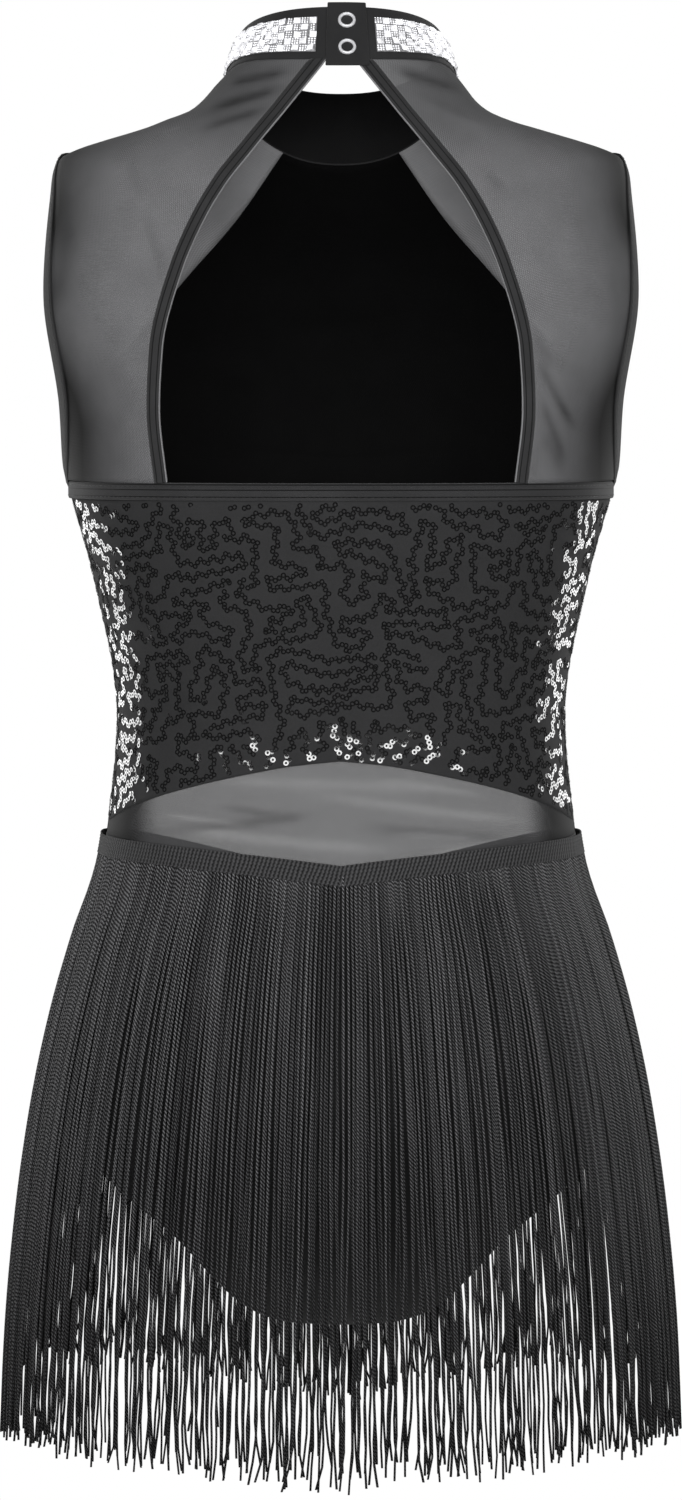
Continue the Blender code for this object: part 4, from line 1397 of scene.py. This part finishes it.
collarParts = {
    "wall": 2.0,
    "slit": 0.8,
    "tabCentre": -2.7,
    "tabHalf": 9.2,
    "tabWall": 1.2,
    "trimLow": 0.12,
    "trimHigh": 0.79,
    "trimEnds": (11.0, -15.5),
    "trimOut": 0.25,  # half of the strip's own wall
    "tabOut": 0.7,
    "gap": 0.3,
    "rolledEdge": 0.7,
    "tabEdge": 0.5,
    "snapHeights": {"upper": 0.70, "lower": 0.19},
    "tabLow": -0.15,
    "tabHigh": 1.05,
    "snapRing": 3.6,
    "snapWire": 0.78,
}
collarFace = collarParts["wall"] / 2 + collarParts["gap"]  # how far out the pieces on the collar begin
stones = {
    "across": 80,
    "down": 5,
    "size": 0.84,  # share of its cell
    "height": 1.3,
    "stud": 0.52,
    "studRows": 1.3,  # between the rows of small studs in a cell
    "tilt": 0.12,
    "glow": 0.52,  # painted sparkle: light the stones give off, standing in for what they reflect
    "seed": 3,
}


def collarAngle(x):
    share = abs(x) / collarTop[0]
    return math.copysign(halfPi - math.acos(share ** (squareness / 2)), x)


def rolled(piece, width):
    bevel = piece.modifiers.new("rolled edge", "BEVEL")
    bevel.width = width * mm
    bevel.segments = 3
    bevel.limit_method = "ANGLE"
    return piece


def collarPatch(start, end, low, high, lift, rows, columns):
    heights = np.linspace(low, high, rows)[:, None]
    angles = np.linspace(start, end, columns)[None, :]
    heights, angles = np.broadcast_arrays(heights, angles)
    return collar(heights, angles) + outward(collar, heights, angles) * lift


def stoneShape(size, height):  # a square stone with a flat top and sloping facets
    half = size / 2
    rings = ((half, 0.0), (half, height * 0.35), (half * 0.45, height))
    points = [(sx * h, sy * h, z) for h, z in rings for sx, sy in ((-1, -1), (1, -1), (1, 1), (-1, 1))]
    faces = [(8, 9, 10), (8, 10, 11)]
    for ring in range(2):
        for k in range(4):
            a, b = ring * 4 + k, ring * 4 + (k + 1) % 4
            faces += [(a, b, b + 4), (a, b + 4, a + 4)]
    return np.array(points), np.array(faces)


def studShape(radius, sides=6):  # a small round one with a blunt point
    turn = np.linspace(0, 2 * math.pi, sides, endpoint=False)
    points = [(radius * math.cos(a), radius * math.sin(a), 0) for a in turn]
    points += [(radius * 0.6 * math.cos(a), radius * 0.6 * math.sin(a), radius * 0.8) for a in turn]
    points += [(0, 0, radius * 1.0)]
    faces = []
    for k in range(sides):
        n = (k + 1) % sides
        faces += [(k, n, n + sides), (k, n + sides, k + sides), (k + sides, n + sides, 2 * sides)]
    return np.array(points), np.array(faces)


def stoneFinish():
    finish = Finish("cutStones")
    # The white base blotched by noise and the emission are painted reflection and light given off, standing
    # in for the stones' sparkle.
    spot = finish.noise(420, 1, 0.5)
    return finish.set(
        baseColor=finish.mix((spot * 2.2 - 0.6).capped(0, 1), grey(0.6), grey(1.0)),
        emissionColor=finish.mix((spot * 2.6 - 0.8).capped(0, 1), grey(0.05), grey(0.9)),
        emissionStrength=stones["glow"],
        roughness=0.12,
        ior=1.6,
    )


def stoneSetting():
    finish = Finish("stoneSetting")
    spot = finish.noise(900, 2, 0.5)
    return finish.set(baseColor=finish.mix(spot, grey(0.05), grey(0.4)), metallic=0.2, roughness=0.4)


def steelFinish():
    finish = Finish("snapSteel")
    spot = finish.noise(300, 2, 0.5)
    tone = finish.mix(spot, grey(0.75), grey(0.95))
    return finish.set(baseColor=tone, metallic=0.4, roughness=spot * 0.1 + 0.3)


def makeCollarBand():
    slit = collarAngle(collarParts["slit"])
    points = collarPatch(halfPi - slit, halfPi + slit - 2 * math.pi, 0.0, 1.0, 0.0, 16, 240)
    piece = clothPiece("collarBand", points, collarParts["wall"], knit["collarKnit"], knit["collarInside"])
    rolled(piece, collarParts["rolledEdge"])
    dress(piece, "collar_knit", "collar_band")


def onCollar(height, angle):  # one point and its direction away from the wearer
    height, angle = np.array([height]), np.array([angle])
    return collar(height, angle)[0], outward(collar, height, angle)[0]


def tilted(height, angle, out, dice):  # a stone's own directions, a little askew
    out = out + dice.normal(0, stones["tilt"], 3)
    out /= np.linalg.norm(out)
    along = (collar(height, angle + 0.01) - collar(height, angle - 0.01)).reshape(3)
    along -= out * (along @ out)
    along /= np.linalg.norm(along)
    return np.stack([along, np.cross(out, along), out])


def makeStoneStrip():
    left, right = collarParts["trimEnds"]
    start, end = halfPi - collarAngle(left), halfPi - collarAngle(right) - 2 * math.pi
    lift = collarFace + collarParts["trimOut"]
    low, high = collarParts["trimLow"], collarParts["trimHigh"]
    points = collarPatch(start, end, low, high, lift, 12, 240)
    piece = clothPiece("stoneStrip", points, 2 * collarParts["trimOut"], stoneSetting())
    dress(piece, "crystal_trim", "collar_trim")
    across, down = stones["across"], stones["down"]
    dice = np.random.default_rng(stones["seed"])
    places, frames, studPlaces, studFrames = [], [], [], []
    cellHigh = (high - low) / down
    turns = np.linspace(start, end, across + 1)
    cellWide = np.linalg.norm(collar(0.5, turns[1:]) - collar(0.5, turns[:-1]), axis=-1)
    for i in range(across):
        angle, wide = (turns[i] + turns[i + 1]) / 2, cellWide[i] / 3
        for j in range(down):
            height = low + (j + 0.5) * cellHigh
            here, out = onCollar(height, angle)
            facing = tilted(height, angle, out, dice)
            here = here + facing[2] * (lift + collarParts["trimOut"])
            if (i + j) % 2 == 0:
                places.append(here)
                frames.append(facing)
                continue
            for a in (-1, 0, 1):
                for b in (-1, 0, 1):
                    studPlaces.append(here + facing[0] * a * wide + facing[1] * b * stones["studRows"])
                    studFrames.append(facing)
    cutStone = stoneFinish()
    stone, faces = stoneShape(float(cellWide.mean()) * stones["size"], stones["height"])
    copies = joinCopies(stone, faces, np.array(places), np.array(frames))
    dress(makeMesh("collarStones", *copies, material=cutStone, smooth=False), "crystal_trim")
    stud, faces = studShape(stones["stud"])
    copies = joinCopies(stud, faces, np.array(studPlaces), np.array(studFrames))
    dress(makeMesh("collarStuds", *copies, material=cutStone), "crystal_trim")


def makeClosure():
    centre, half = collarParts["tabCentre"], collarParts["tabHalf"]
    start, end = halfPi - collarAngle(centre + half), halfPi - collarAngle(centre - half)
    lift = collarFace + collarParts["tabOut"]
    points = collarPatch(start, end, collarParts["tabLow"], collarParts["tabHigh"], lift, 18, 14)
    piece = clothPiece("closureTab", points, collarParts["tabWall"], knit["collarKnit"])
    rolled(piece, collarParts["tabEdge"])
    dress(piece, "collar_knit", "closure_tab")
    steel = steelFinish()
    for level, height in collarParts["snapHeights"].items():
        here, out = onCollar(height, halfPi - collarAngle(centre))
        seat = here + out * (lift + collarParts["tabWall"] / 2)
        makeSnap(f"{level}Snap", seat, out, steel, f"snap_ring_{level}")


def makeSnap(name, seat, out, steel, node):
    ring, wire = collarParts["snapRing"], collarParts["snapWire"]
    turn = np.linspace(0, 2 * math.pi, 56, endpoint=False)
    # Across the wire: share of its half width, and height over the tab.
    section = ((-1, 0.0), (-0.9, 0.5), (-0.4, 0.95), (0, 1.05), (0.5, 0.9), (0.95, 0.45), (1, 0.0))
    profile = [(ring + wire * share, height) for share, height in section]
    side = np.cross(out, (0, 0, 1.0))
    side /= np.linalg.norm(side)
    up = np.cross(side, out)
    points = np.array([
        [seat + side * r * math.cos(a) + up * r * math.sin(a) + out * h for r, h in profile] for a in turn
    ])
    faces = gridFaces(len(turn), len(profile), closedRows=True)
    piece = makeMesh(name, points.reshape(-1, 3), faces, material=steel)
    fixNormals(piece)
    dress(piece, "snap_steel", node)


makeCollarBand()
makeStoneStrip()
makeClosure()
print("collar made")

# The fringe: a ribbed header on each half and two layers of chain-stitched strands that fall from it.

fringe = {
    "strands": (196, 188),  # in the outer layer and in the one behind it
    "crowd": 0.35,  # how much closer the strands are sewn towards the sides
    "steps": 34,
    "sides": 6,
    "radius": (0.66, 0.84),
    "around": 4.0,  # cut length round a strand
    "thinner": 0.24,  # how much narrower a strand is at its end
    "recess": 1.2,  # how far the strands of a layer lie behind one another
    "layerGap": 1.5,
    "layerShorter": 3,
    "onHeader": (0.5, 0.7, 0.9),  # where on the header a strand's first points lie
    "closerSteps": 1.15,
    "freeAfter": 42.0,  # this far below the header a strand hangs clear of the brief
    "shortShare": 0.05,  # share of the strands that are this much shorter than the rest
    "shorter": (4, 16),
    "tone": (0.85, 1.3),  # the darkest and the lightest strands
    # Painted shade and light: strands that hang further back are painted darker and those in front lighter,
    # and the layer behind darker still.
    "darkerBehind": 0.3,
    "darkerLayer": 0.3,
    "darkerEnds": 0.8,
    "backLength": 287.0,
    "frontLength": 263.0,
    "ragged": 5.5,
    "headerDepth": 10.0,
    "headerWall": 1.2,
    "headerOut": 2.5,  # how far the tape lies over the seam and the strands' starts
    "headerRibs": (6, 0.12),  # how many run along it, and how high they stand
    "headerFold": (0.9, 1.3),  # depth and half width of the crease at the middle
    "seed": 21,
    "hip": -490.0,
    "clearance": 4.4,
}
# The form that the strands fall on: height, half width, and depth at the back and the front.
fallTable = np.array([
    (-386, 121.5, 93, -93), (-430, 136, 108, -99), (-465, 146, 114.5, -101.5), (-510, 155.7, 117.5, -104),
    (-570, 164.5, 118.5, -106.5), (-630, 170, 118.5, -108.5), (-700, 173, 118, -110),
], float)


def fallPoint(z, angle):  # a point of the form that the strands fall on, always clear of the hips
    row = readBy(fallTable, np.clip(z, fallTable[-1, 0], fallTable[0, 0]))
    hip = readSmooth(bodyRings, levelAt(np.maximum(z, fringe["hip"]), 0.0))
    clear = fringe["clearance"]
    half = np.maximum(row[..., 0], hip[..., 0] + clear)
    yBack = np.maximum(row[..., 1], hip[..., 2] + clear)
    yFront = np.minimum(row[..., 2], hip[..., 3] - clear)
    zero = 0 * half
    return ringPoint(np.stack([half, zero, yBack, yFront, z, z, z], -1), angle)


def evenAngles(face, count):  # even along the seam, but closer towards the sides
    fineTurns = np.linspace(0, math.pi, 721)
    run = runLengths(skin(levelAt(cut["seamSide"], 0.0) + 0 * fineTurns, fineTurns)[:, None], 0)[:, 0]
    closeness = 1 + fringe["crowd"] * np.abs(np.cos(fineTurns)) ** 3
    run = np.concatenate([[0], np.cumsum(np.diff(run) * (closeness[1:] + closeness[:-1]) / 2)])
    wanted = (np.arange(count) + 0.5) / count * run[-1]
    return face * np.interp(wanted, run, fineTurns)


def strandPaths(face, length, layer, dice):
    count, steps = fringe["strands"][layer], fringe["steps"]
    angles = evenAngles(face, count)
    top = waistSeam(angles)
    low = top - fringe["headerDepth"]
    long = length + dice.uniform(-1, 1, count) * fringe["ragged"]
    strayed = dice.random(count) < fringe["shortShare"]
    long = np.where(strayed, long - dice.uniform(*fringe["shorter"], count), long)
    # Each strand starts at the header's upper edge, lies on the header and falls free from its lower edge.
    starts = np.array(fringe["onHeader"])[None, :]
    shares = np.linspace(0, 1, steps - starts.size)[None, :] ** fringe["closerSteps"]
    onHeader = top[:, None] + (low - top)[:, None] * starts
    z = np.concatenate([onHeader, low[:, None] - long[:, None] * shares], axis=1)
    depth = np.concatenate([0 * starts, shares], axis=1)
    turns = np.broadcast_to(angles[:, None], z.shape)
    fall = fallPoint(z, turns)
    level = levelAt(np.maximum(z, fringe["hip"]), turns)
    seat = skin(level, turns) + outward(skin, level, turns) * (1.0 + fringe["headerWall"] + 0.2)
    ease = rise(0, fringe["freeAfter"], low[:, None] - z)[..., None]
    path = seat * (1 - ease) + fall * ease
    ahead = fallPoint(z, turns + 0.01) - fallPoint(z, turns - 0.01)
    across = ahead / np.linalg.norm(ahead, axis=-1, keepdims=True)
    out = np.stack([across[..., 1], -across[..., 0], 0 * across[..., 0]], -1)
    wrong = (out[..., :2] * path[..., :2]).sum(-1) < 0
    out[wrong] *= -1
    clump = smoothNoise(count, 8.0, dice) * 0.9 + smoothNoise(count, 2.2, dice) * 1.2
    bend = smoothNoise(count, 3.0, dice)
    alone = dice.normal(0, 1, (3, count, 1))
    wave = dice.uniform(0, 2 * math.pi, (3, count, 1))
    sway = (  # sideways, in millimetres
        clump[:, None] * np.sin(np.minimum(depth * 1.4, 1) * halfPi) * (0.35 + 0.65 * depth)  # into clumps
        + bend[:, None] * 1.2 * np.sin(depth * math.pi * 1.3)  # slow bends that neighbours share
        + alone[0] * 0.9 * depth**1.5  # each on its own way towards the end
        + alone[1] * 0.35 * np.sin(depth * 23 + wave[0]) * depth
        + 0.45 * np.sin(depth * 11 + wave[1]) * depth
        + alone[2] * 1.5 * np.clip(depth * 14 - 13, 0, 1) ** 2  # the last centimetres curl away
        + 0.5 * np.sin(depth * 47 + wave[2]) * np.clip(depth * 3 - 2, 0, 1)
    )
    behind = dice.random((count, 1))
    free = np.clip(depth * 7, 0, 1)
    inward = (fringe["recess"] * behind + fringe["layerGap"] * layer) * (0.3 + 0.7 * free)
    inward = inward + 0.3 * free - 0.2 + np.abs(alone[1]) * 0.5 * depth
    return path + across * sway[..., None] - out * inward[..., None], across, out, behind


def tubes(path, across, out, behind, dice):
    count, steps = path.shape[:2]
    sides = fringe["sides"]
    turn = np.linspace(0, 2 * math.pi, sides, endpoint=False)
    thinner = 1 - fringe["thinner"] * np.linspace(0, 1, steps)[None, :, None, None]
    radius = dice.uniform(*fringe["radius"], count)[:, None, None, None] * thinner
    ring = (
        path[:, :, None]
        + across[:, :, None] * np.cos(turn)[None, None, :, None] * radius
        + out[:, :, None] * np.sin(turn)[None, None, :, None] * radius
    )
    one = gridFaces(steps, sides, closedColumns=True)
    faces = (one[None] + (np.arange(count) * steps * sides)[:, None, None]).reshape(-1, 4)
    along = runLengths(path, 1) + dice.uniform(0, 50, (count, 1))
    around = turn / (2 * math.pi) * fringe["around"]
    uvs = np.stack([np.broadcast_to(around, (count, steps, sides)),
                    np.broadcast_to(along[..., None], (count, steps, sides))], -1)
    downwards = 1 - fringe["darkerEnds"] * np.linspace(0, 1, steps) ** 2
    strandTonesAndShade = dice.uniform(*fringe["tone"], (count, 1)) * downwards
    # Strands further back are painted darker and those in front lighter: painted shade and light.
    strandTonesAndShade *= 1 + fringe["darkerBehind"] * (1 - 2 * behind)
    strandTonesAndShade = np.broadcast_to(strandTonesAndShade[..., None], (count, steps, sides))
    return ring.reshape(-1, 3), faces, uvs.reshape(-1, 2), strandTonesAndShade


def strandFinish():
    finish = Finish("chainedYarn")
    u, v = finish.cutPlace()
    # The beads are painted lighter on top and darker between, as painted highlight and shade, besides their
    # bump; the carried number adds each strand's own tone and its painted shade.
    beads = ((v / 1.9 + u / 2) * (2 * math.pi / mm)).sine() * 0.5 + 0.5
    cloud = finish.noise(30, 3, 0.6)
    shade = (beads * beads * 1.1 + cloud * 0.2) * finish.carried("toneAndShade") * 0.5
    return finish.set(
        baseColor=finish.mix(shade, grey(0.002), grey(0.205)),
        roughness=0.65,
        sheenWeight=0.0,
        specularIorLevel=0.06,
        normal=finish.bump(beads, 0.9, 0.0004),
    )


def tapeFinish():
    finish = Finish("headerTape")
    u, v = finish.cutPlace()
    wander = finish.noise(90, 2, 0.5)
    ribs = ((u / 2.1) * (2 * math.pi / mm) + wander * 6).sine() * 0.5 + 0.5
    rows = ((v / 2.0) * (2 * math.pi / mm) + wander * 3).sine() * 0.5 + 0.5
    shade = ribs * 0.65 + rows * 0.15 + finish.noise(500, 2, 0.6) * 0.2
    return finish.set(
        baseColor=finish.mix(shade, grey(0.0), grey(0.068)),
        roughness=0.8,
        sheenWeight=0.05,
        specularIorLevel=0.08,
        normal=finish.bump(shade, 0.8, 0.0004),
    )


def makeHeader(name, face, material):
    angles = evenAngles(face, 240)
    shares = np.linspace(0, 1, 25)[:, None]
    heights = waistSeam(angles) - fringe["headerDepth"] * shares
    turns = np.broadcast_to(angles, heights.shape)
    levels = levelAt(heights, turns)
    ribCount, ribHeight = fringe["headerRibs"]
    foldDepth, foldHalf = fringe["headerFold"]
    ribs = ribHeight * np.cos(shares * 2 * math.pi * ribCount)
    fold = np.exp(-((skin(levels, turns)[..., 0] / foldHalf) ** 2)) * foldDepth
    lift = fringe["headerOut"] + fringe["headerWall"] / 2 + ribs - fold
    points = lifted(levels, turns, skin(levels, turns), lift)
    return clothPiece(f"{name}.header", points, fringe["headerWall"] * 0.6, material)


def makeFringe():
    dice = np.random.default_rng(fringe["seed"])
    yarn = strandFinish()
    tape = tapeFinish()
    for face, length, name, node in (
        (back, fringe["backLength"], "backFringe", "fringe_back"),
        (front, fringe["frontLength"], "frontFringe", "fringe_front"),
    ):
        header = makeHeader(name, face, tape)
        dress(header, "fringe_yarn", node)
        for layer in range(len(fringe["strands"])):
            long = length - fringe["layerShorter"] * layer
            path, across, out, behind = strandPaths(face, long, layer, dice)
            points, faces, uvs, strandTonesAndShade = tubes(path, across, out, behind, dice)
            strands = makeMesh(f"{name}.layer{layer + 1}", points, faces, uvs, yarn)
            # The layer behind is painted darker, as shade.
            shaded(strands, strandTonesAndShade * (1 - fringe["darkerLayer"] * layer))
            dress(strands, "fringe_yarn")


makeFringe()
print("fringe hung")
